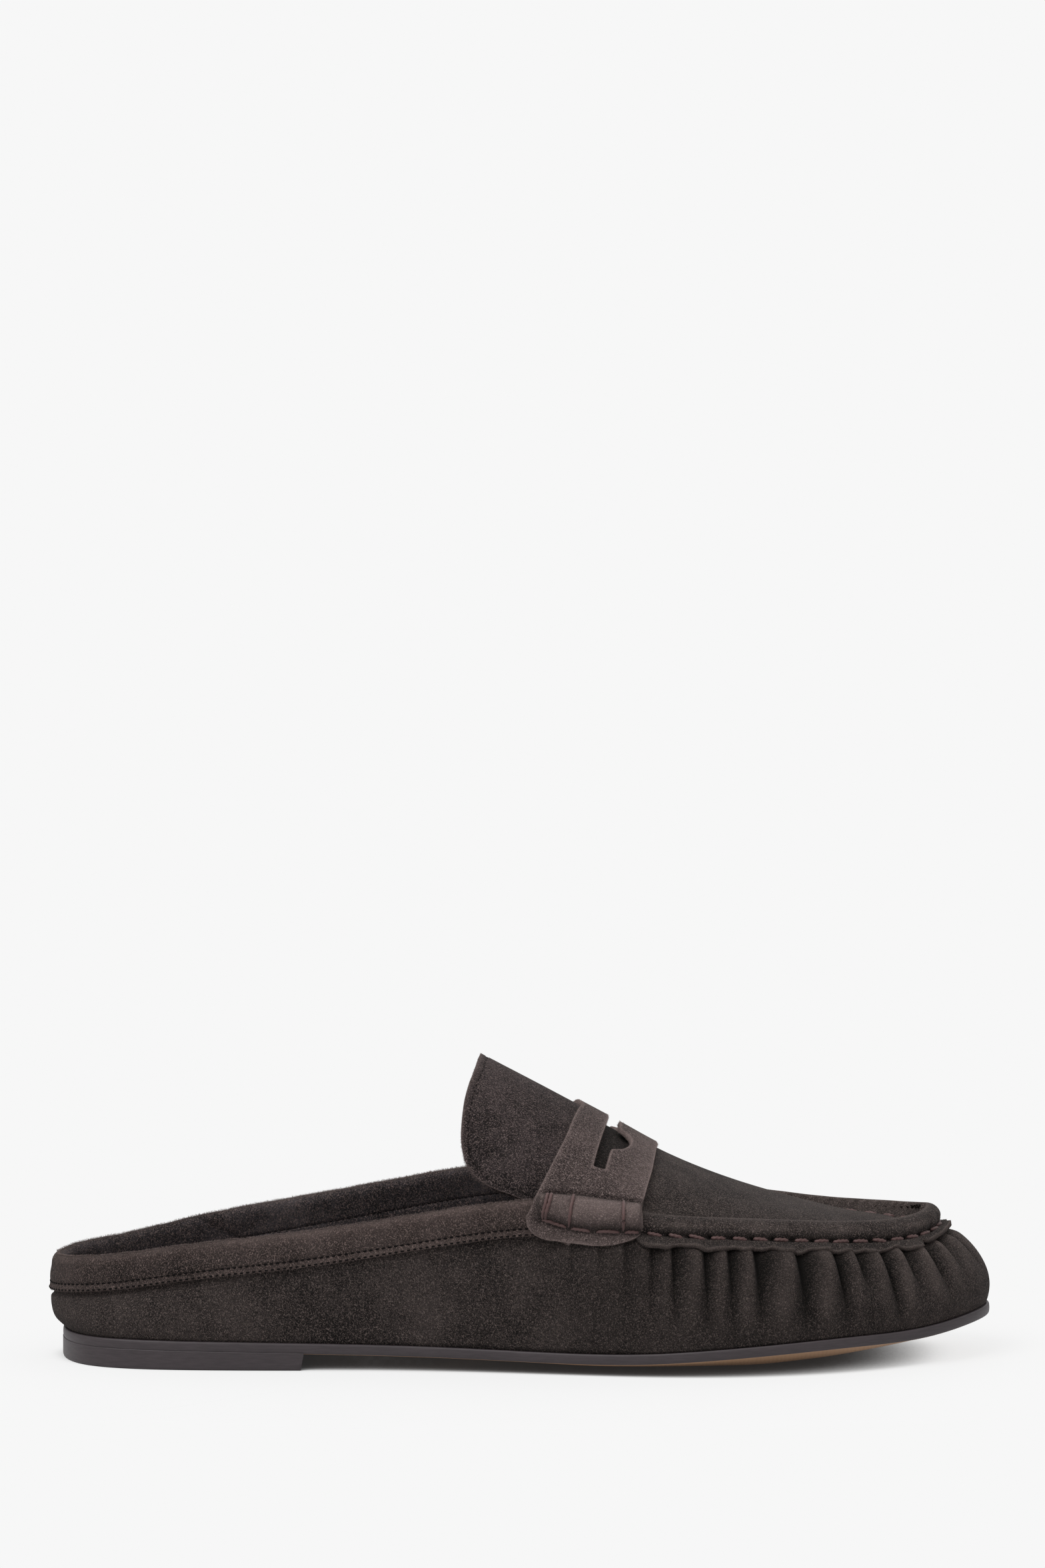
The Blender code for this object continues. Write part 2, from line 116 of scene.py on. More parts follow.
def makeLight():
    for strength, spread, height, side in studio["suns"]:
        turn = (0, math.radians(90 - height), math.radians(side - 90))
        bpy.ops.object.light_add(type="SUN", rotation=turn)
        bpy.context.object.data.energy = strength
        bpy.context.object.data.angle = math.radians(spread)
    world = bpy.data.worlds.new("paleDome")
    bpy.context.scene.world = world
    world.use_nodes = True
    nodes, links = world.node_tree.nodes, world.node_tree.links
    way = nodes.new("ShaderNodeTexCoord")
    parts = nodes.new("ShaderNodeSeparateXYZ")
    grade = nodes.new("ShaderNodeMapRange")
    ray = nodes.new("ShaderNodeLightPath")
    seen = nodes.new("ShaderNodeMix")           # plain backdrop for the camera, graded light for the shoe
    grade.inputs[3].default_value, grade.inputs[4].default_value = studio["sky"]
    seen.inputs[3].default_value = studio["background"]
    links.new(way.outputs["Generated"], parts.inputs[0])
    links.new(parts.outputs["Z"], grade.inputs[0])
    links.new(ray.outputs["Is Camera Ray"], seen.inputs[0])
    links.new(grade.outputs[0], seen.inputs[2])
    links.new(seen.outputs[0], nodes["Background"].inputs["Strength"])
    nodes["Background"].inputs["Color"].default_value = grey(1)
    print("lights: %d suns and a pale dome" % len(studio["suns"]))


# Shader maths: a socket that can be added, multiplied and so on
class Value:
    def __init__(self, look, socket):
        self.look = look
        self.socket = socket

    def math(self, operation, *others):
        return self.look.node("ShaderNodeMath", {"operation": operation}, dict(enumerate(others)))

    def __add__(self, other):
        return self.math("ADD", self, other)

    def __sub__(self, other):
        return self.math("SUBTRACT", self, other)

    def __rsub__(self, other):
        return self.math("SUBTRACT", other, self)

    def __mul__(self, other):
        return self.math("MULTIPLY", self, other)

    def over(self, low, high):      # 0 below low, 1 above high
        settings = {"interpolation_type": "SMOOTHSTEP"}
        return self.look.node("ShaderNodeMapRange", settings, {0: self, 1: low, 2: high})

    def limited(self):
        return self.look.node("ShaderNodeClamp", {}, {0: self})

    __radd__ = __add__
    __rmul__ = __mul__


class Look:
    def __init__(self, name):
        self.material = bpy.data.materials.new(name)
        self.material.use_nodes = True
        self.tree = self.material.node_tree
        self.shader = self.tree.nodes["Principled BSDF"]

    def put(self, socket, value):
        if isinstance(value, Value):
            self.tree.links.new(value.socket, socket)
        else:
            socket.default_value = value

    def set(self, name, value):
        self.put(self.shader.inputs[name], value)

    def node(self, kind, settings, sockets, output=0):
        made = self.tree.nodes.new(kind)
        for name, value in settings.items():
            setattr(made, name, value)
        for name, value in sockets.items():
            self.put(made.inputs[name], value)
        return Value(self, made.outputs[output])

    def place(self, stretch=(1, 1, 1), turn=(0, 0, 0)):
        spot = self.node("ShaderNodeTexCoord", {}, {}, "Object")
        return self.node("ShaderNodeMapping", {}, {"Vector": spot, "Scale": stretch, "Rotation": turn})

    def combed(self, stretch, turn):        # a place drawn out along one way, for hairs
        spot = self.node("ShaderNodeTexCoord", {}, {}, "Object")
        sockets = {"Vector": spot, "Scale": (stretch, 1, 1), "Rotation": turn}
        return self.node("ShaderNodeMapping", {"vector_type": "TEXTURE"}, sockets)

    def noise(self, size, detail=2, rough=0.5, where=None):     # size of its grains in mm
        sockets = {"Scale": 1 / (size * mm), "Detail": detail, "Roughness": rough}
        sockets["Vector"] = where or self.place()
        return self.node("ShaderNodeTexNoise", {}, sockets)

    def mark(self, name):
        return self.node("ShaderNodeAttribute", {"attribute_name": name}, {}, "Fac")

    def mix(self, factor, a, b):
        settings = {"data_type": "RGBA", "clamp_factor": True}
        return self.node("ShaderNodeMix", settings, {0: factor, 6: a, 7: b}, 2)

    def bump(self, height, distance, strength=1):
        sockets = {"Height": height, "Distance": distance * mm, "Strength": strength}
        self.set("Normal", self.node("ShaderNodeBump", {}, sockets))


def colour(r, g, b):                # from the 0 to 255 of a picture to a shader's linear colour
    return (*[((c / 255 + 0.055) / 1.055) ** 2.4 for c in (r, g, b)], 1)


def grey(level):
    return (level, level, level, 1)


suede = {           # dark nap, light nap, brushed nap, how strong the brushed patches and the hairs are
    "wallSuede": ((12, 10, 10), (65, 58, 56), (132, 118, 113), 1.1, 0.55),
    "apronSuede": ((12, 10, 10), (58, 52, 50), (134, 120, 115), 1.4, 0.6),
    "tongueSuede": ((13, 11, 11), (67, 59, 59), (134, 118, 115), 1.4, 0.7),
    "bindingSuede": ((14, 11, 10), (63, 55, 53), (136, 118, 113), 1.3, 0.7),
    "strapSuede": ((24, 20, 20), (85, 74, 72), (156, 138, 134), 0.8, 0.75),
    "liningSuede": ((15, 14, 15), (54, 50, 52), (62, 58, 59), 0.6, 0.5),
}
nap = {
    "patches": (        # where a hand has brushed it: size in mm, detail, roughness, share
        (17, 3, 0.6, 0.5),
        (42, 2, 0.5, 0.3),
        (6.5, 2, 0.5, 0.3),
    ),
    "tuft": 1.3, "fibre": 0.3, "hair": 0.2, "hairLong": 3.5,    # mm, and how drawn out a hair is
    "hairTurns": ((0.2, 0.5, 0), (0, -0.8, 0.3), (0.3, 1.5, 0.2)),
    # painted shade: darker, greyer nap for the binding's inner leg, and the colour that the painted shade of
    # the dark mark goes to
    "insideDark": (20, 19, 20), "insideLight": (74, 69, 71),
    "paintedShade": (11, 9, 7), "sheen": (200, 188, 184),
}


def suedeLook(name):
    dark, light, pale, patch, hair = suede[name]
    dark, light, pale = colour(*dark), colour(*light), colour(*pale)
    look = Look(name)
    patches, hairs = 0, 0
    for size, detail, rough, share in nap["patches"]:
        patches = patches + look.noise(size, detail, rough) * share
    for turn in nap["hairTurns"]:
        combed = look.combed(nap["hairLong"], turn)
        hairs = hairs + look.noise(nap["hair"], 1, 0.5, combed).over(0.6, 0.7)
    hairs = hairs.limited()
    tufts = look.noise(nap["tuft"], 3, 0.65)
    fibres = look.noise(nap["fibre"], 2, 0.75)
    lie = 0.5 + (patches - 0.55) * (2.4 * patch) + (tufts - 0.5) * 0.8 + (fibres - 0.5) * 3.6
    lie = lie.limited()
    # the dark mark is mostly painted shade, in troughs, grooves, needle holes and under the strap, with a few
    # darker joins
    shadeMask = look.mark("dark")
    inside = look.mix(lie, colour(*nap["insideDark"]), colour(*nap["insideLight"]))
    shade = look.mix(lie, dark, light)
    # the pale mark: paler raw cut edges, and painted highlight on crests, the ridge, the roll and the
    # binding's top
    shade = look.mix(look.mark("pale") * (0.3 + tufts * 0.9), shade, pale)
    # the grey mark: painted shade on the binding's inner leg
    shade = look.mix(look.mark("grey"), shade, inside)
    shade = look.mix(shadeMask * 0.85, shade, colour(*nap["paintedShade"]))
    shade = look.mix(hairs * hair * (1 - shadeMask * 0.6).limited(), shade, pale)
    look.set("Base Color", shade)
    look.set("Roughness", 0.96)
    look.set("Specular IOR Level", 0.15)
    look.set("Sheen Weight", 0.04)
    look.set("Sheen Roughness", 0.45)
    look.set("Sheen Tint", colour(*nap["sheen"]))
    look.bump(fibres * 0.7 + tufts * 0.4 + hairs * 0.35, 0.45, 0.85)
    return look.material


def threadLook():
    look = Look("waxedThread")
    strands = look.noise(0.25, 2, 0.6)
    look.set("Base Color", look.mix(strands, colour(44, 28, 27), colour(104, 73, 70)))
    look.set("Roughness", 0.6)
    look.set("Sheen Weight", 0.1)
    look.bump(strands, 0.08, 0.6)
    return look.material


def machineThreadLook():
    look = Look("fineThread")
    # near-black: the thread's own dark colour and the painted shade of its needle holes
    look.set("Base Color", look.mix(look.noise(0.4), colour(5, 4, 4), colour(18, 14, 14)))
    look.set("Roughness", 0.8)
    look.set("Specular IOR Level", 0.1)
    return look.material


def fuzzLook():
    look = Look("looseFibres")
    look.set("Base Color", look.mix(look.noise(0.8, 1), colour(72, 64, 62), colour(150, 134, 129)))
    look.set("Roughness", 0.95)
    look.set("Specular IOR Level", 0.1)
    return look.material


def edgeLook():
    look = Look("dyedEdge")
    along = look.place((0.12, 0.12, 1))
    grain = look.noise(0.5, 3, 0.6)
    layers = look.noise(0.5, 2, 0.5, along)
    patches = look.noise(14, 3, 0.5)
    shade = look.mix(0.35 + (layers - 0.5) * 0.8 + patches * 0.4, colour(40, 35, 37), colour(70, 62, 65))
    look.set("Base Color", shade)
    look.set("Roughness", 0.42 + grain * 0.2)
    look.set("Specular IOR Level", 0.4)
    look.bump(layers * 0.7 + grain * 0.3, 0.05, 0.5)
    return look.material


def tanLook():
    look = Look("tanSole")
    grain = look.noise(0.35, 3, 0.6)
    clouds = look.noise(18, 4, 0.6)
    ribs = look.node("ShaderNodeTexWave", {"bands_direction": "X"}, {"Vector": look.place(), "Scale": 280})
    look.set("Base Color", look.mix(clouds * 0.8 + grain * 0.3, colour(142, 104, 76), colour(196, 156, 120)))
    look.set("Roughness", 0.55 + grain * 0.2)
    look.bump(ribs * 0.5 + grain * 0.5, 0.12, 0.6)
    return look.material


def footbedLook():
    look = Look("footbedLeather")
    grain = look.node("ShaderNodeTexVoronoi", {}, {"Vector": look.place(), "Scale": 900})
    clouds = look.noise(20, 3, 0.6)
    look.set("Base Color", look.mix(clouds, colour(34, 31, 32), colour(58, 54, 55)))
    look.set("Roughness", 0.62 + clouds * 0.15)
    look.bump(grain, 0.12, 0.5)
    return look.material


# The last, repeated from the part's source: sizes in mm, toe at +x, outer side at -y
last = {
    "sections": (       # x, y and z of the wall's foot, belly, x, y and z of the rim
        (-123.5, 1.0, 8.0, 3.9, -126.4, 1.0, 26.3),         # heel back
        (-118.6, -16.8, 8.0, 3.2, -120.6, -13.0, 27.4),
        (-104.6, -25.4, 8.0, 2.2, -107.0, -20.6, 29.4),
        (-86.0, -28.0, 7.8, 1.8, -87.0, -26.2, 32.9),
        (-64.0, -28.6, 7.5, 1.6, -64.0, -29.8, 36.0),
        (-40.0, -29.0, 7.1, 1.6, -40.0, -31.0, 39.6),
        (-16.0, -31.4, 6.6, 1.6, -16.0, -32.2, 43.6),
        (8.0, -36.0, 6.1, 1.6, 8.0, -33.6, 46.0),           # strap
        (30.0, -40.3, 6.2, 1.6, 29.0, -33.8, 44.2),
        (50.0, -42.0, 7.4, 1.6, 48.0, -31.6, 42.3),         # ball
        (70.0, -40.2, 8.9, 1.8, 66.0, -28.2, 41.2),
        (90.0, -33.6, 10.0, 2.2, 83.0, -22.4, 39.8),
        (108.0, -22.4, 10.6, 2.6, 98.0, -14.8, 39.0),
        (121.4, -8.6, 12.4, 3.0, 107.6, -5.2, 39.4),
        (127.3, 7.0, 13.3, 3.3, 110.6, 5.6, 40.2),          # toe tip
        (122.8, 20.4, 12.8, 3.0, 107.8, 14.6, 39.3),
        (111.0, 30.0, 11.2, 2.6, 99.0, 20.6, 38.9),
        (93.0, 37.4, 10.0, 2.2, 84.0, 26.0, 39.1),
        (72.0, 41.4, 8.9, 1.8, 67.0, 29.4, 40.6),
        (51.0, 42.0, 7.6, 1.6, 49.0, 31.4, 42.4),           # ball
        (30.0, 39.0, 6.8, 1.6, 29.0, 32.0, 44.8),
        (8.0, 33.4, 7.0, 1.6, 8.0, 31.6, 47.4),             # strap
        (-16.0, 29.0, 7.4, 1.6, -16.0, 30.6, 45.6),
        (-40.0, 27.0, 7.6, 1.6, -40.0, 29.8, 41.4),
        (-64.0, 27.2, 7.8, 1.6, -64.0, 28.8, 37.2),
        (-86.0, 26.8, 7.8, 1.8, -87.0, 25.8, 33.2),
        (-104.6, 24.4, 8.0, 2.2, -107.0, 20.4, 29.2),
        (-118.6, 17.2, 8.0, 3.2, -120.6, 14.0, 27.4),
    ),
    "crown": (          # x, height of the instep's middle
        (-24, 89.6), (24, 64), (40, 55), (52, 49.6), (64, 45.2), (78, 41), (92, 38), (104, 37.4), (112, 39.4),
    ),
    "keel": (           # x, height of the sole's underside along the middle
        (-125, 4.9), (-58, 4.9), (-30, 3.6), (0, 1.2), (22, 0), (60, 0), (80, 1.5), (100, 4.4), (128, 10.4),
    ),
    "bellyAt": 0.36, "shoulder": 0.8, "shoulderAt": 0.2,
    "arch": 0.75, "tread": 0.42, "camber": 1.7,
    "collarOut": 0.5, "collarDeep": 9.3, "collarEnd": 6.8,
    "ridgeOut": 3.8, "ridgeDeep": 4.9, "ridgeRound": 0.6, "ridgeStart": 7.7,
    "throat": 23 / 3, "wall": 2.0, "sole": 3,
}
around = len(last["sections"])
toe = around // 2
foot, belly, rim = slice(0, 3), slice(3, 4), slice(4, 7)
tiny = 0.01


def closedCurve(rows):              # smooth and closed, one row to each unit
    rows = np.array(rows, float)
    count = len(rows)
    links = 4 * np.eye(count) + np.roll(np.eye(count), 1, 0) + np.roll(np.eye(count), -1, 0)
    slopes = np.linalg.solve(links, 3 * (np.roll(rows, -1, 0) - np.roll(rows, 1, 0)))

    def at(u):
        u = np.asarray(u, float)
        first = np.floor(u).astype(int)
        t = (u - first)[..., None]
        a, b = first % count, (first + 1) % count
        back, ahead = (1 - t) ** 2, t ** 2
        return (rows[a] * (1 + 2 * t) * back + slopes[a] * t * back
                + rows[b] * (3 - 2 * t) * ahead - slopes[b] * (1 - t) * ahead)

    return at


def openCurve(rows):                # level where two rows are level
    x, z = np.array(rows, float).T
    run = np.diff(x)
    grade = np.diff(z) / run
    slope = np.concatenate((grade[:1], np.zeros(len(x) - 2), grade[-1:]))
    for i in range(1, len(x) - 1):
        if grade[i - 1] * grade[i] > 0:
            slope[i] = 2 * grade[i - 1] * grade[i] / (grade[i - 1] + grade[i])

    def at(where):
        where = np.clip(where, x[0], x[-1])
        i = np.clip(np.searchsorted(x, where, "right") - 1, 0, len(run) - 1)
        t = (where - x[i]) / run[i]
        return (z[i] * (1 + 2 * t) * (1 - t) ** 2 + slope[i] * run[i] * t * (1 - t) ** 2
                + z[i + 1] * (3 - 2 * t) * t ** 2 - slope[i + 1] * run[i] * (1 - t) * t ** 2)

    return at


def ramp(low, high, value):
    t = np.clip((value - low) / (high - low), 0, 1)
    return t * t * (3 - 2 * t)


def bezier(a, b, c, d, t):
    t = t[..., None]
    return a * (1 - t) ** 3 + 3 * b * t * (1 - t) ** 2 + 3 * c * t ** 2 * (1 - t) + d * t ** 3


def unit(vectors):
    return vectors / np.linalg.norm(vectors, axis=-1, keepdims=True)


def hump(value, at, wide):          # 1 at that value, falling off on both sides
    return np.exp(-((value - at) / wide) ** 2)


def sineSteps(count):               # from -1 to 1, closer together at the ends
    return np.sin(np.linspace(-math.pi / 2, math.pi / 2, count + 1))


def lengthsOf(points):              # how far along its line each point is
    return np.concatenate(((0,), np.cumsum(np.linalg.norm(np.diff(points, axis=0), axis=1))))


def pick(where, lengths, rows):     # the row at each of some lengths
    return np.stack([np.interp(where, lengths, rows[:, axis]) for axis in range(3)], -1)


section = closedCurve(last["sections"])
crown = openCurve(last["crown"])
keel = openCurve(last["keel"])


def fromHeel(u):
    return toe - np.abs(np.mod(u, around) - toe)


def rowAt(x):
    return np.interp(x, [row[4] for row in last["sections"][:toe + 1]], range(toe + 1))


def outward(u, line):
    ahead = unit((section(u + tiny) - section(u - tiny))[..., line][..., :2])
    return np.stack((ahead[..., 1], -ahead[..., 0], np.zeros(ahead.shape[:-1])), -1)


def wall(u, q):                     # q: 0 on the sole, 1 on the stitch line, 2 on the rim
    u, q = np.broadcast_arrays(np.asarray(u, float), np.asarray(q, float))
    row = section(u)
    low, top = row[..., foot], row[..., rim]
    lowOut, topOut = outward(u, foot), outward(u, rim)
    seam = ramp(last["collarEnd"], last["ridgeStart"], fromHeel(u))[..., None]
    out = last["collarOut"] + (last["ridgeOut"] - last["collarOut"]) * seam
    drop = last["collarDeep"] + (last["ridgeDeep"] - last["collarDeep"]) * seam
    stitch = top + out * topOut - drop * up
    high = (stitch - low)[..., 2:]
    lean = np.clip(np.sum((low - stitch) * lowOut, -1, keepdims=True), 0, None)
    bulge = low + row[..., belly] * lowOut + last["bellyAt"] * high * up
    shoulder = stitch + last["shoulder"] * lean * lowOut - last["shoulderAt"] * high * up
    lower = bezier(low, bulge, shoulder, stitch, np.clip(q, 0, 1))
    steep = stitch + last["ridgeRound"] * drop * up
    crest = top + last["ridgeRound"] * seam * out * topOut
    crest = crest - (1 - last["ridgeRound"]) * (1 - seam) * drop * up
    upper = bezier(stitch, steep, crest, top, np.clip(q - 1, 0, 1))
    return np.where(q[..., None] <= 1, lower, upper)


def wallNormal(u, q):
    u, q = np.broadcast_arrays(np.asarray(u, float), np.asarray(q, float))
    along = wall(u + tiny, q) - wall(u - tiny, q)
    return unit(np.cross(along, wall(u, np.minimum(q + tiny, 2)) - wall(u, np.maximum(q - tiny, 0))))


def arched(left, right, share):
    share = np.asarray(share)[..., None]
    middle = (left + right) / 2
    rise = crown(middle[..., :1]) - middle[..., 2:]
    return middle + (right - left) / 2 * share + np.clip(1 - share ** 2, 0, 1) ** last["arch"] * rise * up


def instep(c, share):
    return arched(section(c)[..., rim], section(around - c)[..., rim], share)


def soleTop(c, share, out):
    c, share = np.broadcast_arrays(np.asarray(c, float), np.asarray(share, float))
    left, right = (section(u)[..., foot] + out * outward(u, foot) for u in (c, around - c))
    points = left + (right - left) * (1 + share[..., None]) / 2
    curl = np.clip((np.abs(share) - last["tread"]) / (1 - last["tread"]), 0, 1) ** last["camber"]
    ends = ramp(0, 1, c) * ramp(0, 1, toe - c)
    points[..., 2] += (keel(points[..., 0]) + last["sole"] - points[..., 2]) * (1 - curl) * ends
    return points


rounds = np.linspace(0, around, 2801)
seamLengths = lengthsOf(wall(rounds, 1))
seamLengths = seamLengths - seamLengths[len(rounds) // 2]


def alongSeam(u):                   # mm from the toe, negative on the outer side
    return np.interp(np.mod(u, around), rounds, seamLengths)


# Modelling helpers
def edit(piece, *steps):            # runs edit-mode steps on all of one piece
    bpy.ops.object.select_all(action="DESELECT")
    piece.select_set(True)
    bpy.context.view_layer.objects.active = piece
    bpy.ops.object.mode_set(mode="EDIT")
    bpy.ops.mesh.select_all(action="SELECT")
    for step in steps:
        step()
    bpy.ops.object.mode_set(mode="OBJECT")


def mergeDoubles():
    bpy.ops.mesh.remove_doubles(threshold=0.002 * mm)


def faceAllOut():                   # for closed meshes
    bpy.ops.mesh.normals_make_consistent(inside=False)


def gridPiece(name, points, marks):     # a grid whose points are then put in their places
    count = points.shape[:2]
    bpy.ops.object.select_all(action="DESELECT")
    bpy.ops.mesh.primitive_grid_add(x_subdivisions=count[0] - 1, y_subdivisions=count[1] - 1, size=2)
    piece = bpy.context.object
    piece.name = piece.data.name = name
    flat = np.empty(len(piece.data.vertices) * 3, np.float32)
    piece.data.vertices.foreach_get("co", flat)
    i, j = (np.rint((flat[k::3] + 1) / 2 * (count[k] - 1)).astype(int) for k in (0, 1))
    piece.data.vertices.foreach_set("co", (points[i, j] * mm).ravel().astype(np.float32))
    for mark, values in marks.items():
        made = piece.data.attributes.new(mark, "FLOAT", "POINT")
        made.data.foreach_set("value", np.broadcast_to(values, count)[i, j].ravel().astype(np.float32))
    piece.data.update()
    return piece


def faceOut(piece, height):         # turns an open sheet so that its faces look away from the foot
    centres = np.empty(len(piece.data.polygons) * 3, np.float32)
    normals = np.empty_like(centres)
    piece.data.polygons.foreach_get("center", centres)
    piece.data.polygons.foreach_get("normal", normals)
    away = centres.reshape(-1, 3) - np.array((0, 0, height * mm))
    away[:, 0] = 0
    if np.sum(away * normals.reshape(-1, 3)) < 0:
        edit(piece, bpy.ops.mesh.flip_normals)


def modify(piece, kind, **settings):
    bpy.context.view_layer.objects.active = piece
    added = piece.modifiers.new(kind.lower(), kind)
    for name, value in settings.items():
        setattr(added, name, value)
    bpy.ops.object.modifier_apply(modifier=added.name)


def thicken(piece, thick, outwards=False, lined=0):     # lined: its other side takes the next look
    modify(piece, "SOLIDIFY", thickness=thick * mm, offset=1 if outwards else -1, material_offset=lined)


def soften(piece):
    modify(piece, "SUBSURF", levels=1, render_levels=1)


def wear(piece, looks):
    for look in looks:
        piece.data.materials.append(look)


def dress(piece, looks, stands=()):
    wear(piece, looks)
    bpy.ops.object.select_all(action="DESELECT")
    piece.select_set(True)
    bpy.context.view_layer.objects.active = piece
    bpy.ops.object.shade_smooth()
    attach(piece, "root")
    if stands:
        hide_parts(*stands)
    print("  %s: %d faces" % (piece.name, len(piece.data.polygons)))


def meshPiece(name, verts, faces):      # many small things joined in one mesh, places in mm
    mesh = bpy.data.meshes.new(name)
    mesh.from_pydata((verts * mm).tolist(), [], faces)
    piece = bpy.data.objects.new(name, mesh)
    bpy.context.scene.collection.objects.link(piece)
    edit(piece, faceAllOut)
    return piece


def tubes(name, paths, radius, sides, twist=0, ply=0.0):    # threads along paths
    turns = np.linspace(0, 2 * math.pi, sides, endpoint=False)
    verts, faces = [], []
    for path in paths:
        path = np.asarray(path)
        ahead = unit(np.gradient(path, axis=0))
        side = unit(np.cross(ahead, up + 0.01))
        lift = np.cross(side, ahead)
        share = np.linspace(-1, 1, len(path))
        lengths = lengthsOf(path)
        full = radius * np.sqrt(np.clip(1 - np.abs(share) ** 5, 0.02, 1))
        first = len(verts)
        for k, point in enumerate(path):
            wave = 1 + ply * np.cos(2 * (turns - twist * lengths[k]))
            ring = np.outer(np.cos(turns) * wave, side[k]) + np.outer(np.sin(turns) * wave, lift[k])
            verts.extend(point + full[k] * ring)
        for k in range(len(path) - 1):
            for n in range(sides):
                a, b = first + k * sides + n, first + k * sides + (n + 1) % sides
                faces.append((a, b, b + sides, a + sides))
        end = first + (len(path) - 1) * sides
        faces.append(tuple(range(first + sides - 1, first - 1, -1)))
        faces.append(tuple(range(end, end + sides)))
    return meshPiece(name, np.array(verts), faces)


def stitchPaths(points, outs, pitch, length, rings, bow, tilt=0.0, uneven=0.0):     # stitches along a line
    lengths = lengthsOf(points)
    count = int(lengths[-1] / pitch)
    chance = np.random.default_rng(count)
    paths = []
    for k in range(count):
        slip, stretch, lean = uneven * chance.normal(0, 1, 3)
        middle = (k + 0.5) * lengths[-1] / count + slip
        where = middle + np.linspace(-0.5, 0.5, rings) * length * (1 + 0.5 * stretch)
        point, out = pick(where, lengths, points), unit(pick(where, lengths, outs))
        share = np.linspace(-1, 1, rings)[:, None]
        cross = unit(np.cross(np.gradient(point, axis=0), out))
        bowed = point + out * bow * (1 - share ** 4) - out * bow
        paths.append(bowed + cross * (tilt + 1.5 * lean) * share)
    return paths


fuzz = {
    "perMm": 20, "long": (0.22, 0.62), "thin": 0.055,
    "rooted": 0.15, "spread": 0.6, "bend": 0.3,     # how deep they start, how they stray and bend
}
fuzzEdges = []


# A cut edge: its line, the line next to it, the way out of the leather, the thickness
def rawEdge(points, inner, out, thick):
    fuzzEdges.append((points, unit(points - inner), out, thick))


def makeFuzz(look):                     # loose fibres along the cut edges
    chance = np.random.default_rng(7)
    roots, ways = [], []
    for points, away, out, thick in fuzzEdges:
        lengths = lengthsOf(points)
        count = int(lengths[-1] * fuzz["perMm"])
        where = chance.uniform(0, lengths[-1], count)
        root, way, deep = (pick(where, lengths, rows) for rows in (points, away, out))
        roots.append(root + thick * chance.uniform(0, 1, (count, 1)) * deep - fuzz["rooted"] * way)
        ways.append(unit(way + fuzz["spread"] * chance.normal(0, 1, (count, 3))))
    root, way = np.concatenate(roots), np.concatenate(ways)
    long = chance.uniform(*fuzz["long"], len(root))[:, None]
    side = unit(np.cross(way, chance.normal(0, 1, way.shape)))
    other = np.cross(way, side)
    thirds = (0, 2.1, 4.2)              # angles of the three corners at a fibre's root
    corners = [root + fuzz["thin"] * (math.cos(a) * side + math.sin(a) * other) for a in thirds]
    bend = fuzz["bend"] * long * side * chance.normal(0, 1, long.shape)
    verts = np.stack(corners + [root + long * way + bend], 1).reshape(-1, 3)
    first = 4 * np.arange(len(root))[:, None, None]
    faces = (first + np.array(((0, 1, 3), (1, 2, 3), (2, 0, 3), (2, 1, 0)))[None]).reshape(-1, 3)
    dress(meshPiece("edgeFuzz", verts, faces.tolist()), (look,))


# The upper's wall, gathered into the seam round the toe
wallPiece = {
    "rows": 46, "coarse": 60, "fine": 720, "fineFrom": 6.9,
    "thick": 1.9,
    "topFrom": 7.75, "topTo": 8.15,     # here its top comes down from the rim to the stitch line
    "tuck": 1.7,                        # under the apron it lies this far in
    "drawn": 1.0,                       # just below the seam it is drawn in
    "slack": 0.14, "heelFull": 0.8,     # mm of waviness, and of fullness at the back of the heel
    "darkHeel": 0.2, "shadeStrap": 0.3, "shadeFoot": 0.12,    # darker at the heel; painted shade below the strap and low on the wall at the toe
    "wearAndHighlight": 0.32, "highlightFront": 0.3, "tipLessPale": 0.2,        # paler crests: brushed nap and painted highlight, most of all beside the toe tip, less at the tip
}
gathers = {
    "puff": 1.1, "puffDeep": (3, 26), "flatToe": 0.7,       # the leather between them swells out
    "deepen": 1.15, "fade": 0.25,       # all are this much deeper, and fade after this part of their length
    "rise": 0.85, "fall": 9, "full": 1.12,      # each swells slowly towards the toe and falls steeply
    "softDeep": (5, 24),                # mm down the wall between which they turn soft
    "outer": (-124, -92), "inner": (-118, -90),     # mm from the toe between which they begin, on each side
    "high": 29,                         # height of the wall
    "creases": (        # mm along the seam from the toe, depth, length down the wall
        (-128.0, 0, 10), (-119.0, 0.3, 22), (-111.0, 0.5, 24), (-104.0, 0.8, 24), (-97.0, 1.2, 26),
        (-91.0, 1.7, 29), (-82.5, 2.2, 31), (-76.0, 2.3, 30), (-69.0, 2.5, 31), (-57.5, 2.9, 33),
        (-47.0, 2.8, 31), (-41.0, 2.2, 22), (-33.5, 2.7, 32), (-26.5, 2.3, 24), (-18.5, 2.4, 27),
        (-11.5, 1.9, 21), (-4.0, 1.8, 20), (4.5, 1.7, 20), (12.0, 1.9, 22), (20.0, 2.2, 25),
        (28.5, 2.1, 23), (36.0, 2.6, 30), (45.0, 2.4, 26), (52.5, 2.8, 32), (62.0, 2.4, 30),
        (70.0, 2.5, 31), (78.0, 2.0, 29), (86.0, 1.6, 27), (93.0, 1.2, 25), (101.0, 0.7, 22),
        (110.0, 0.4, 20), (120.0, 0, 10),
    ),
}


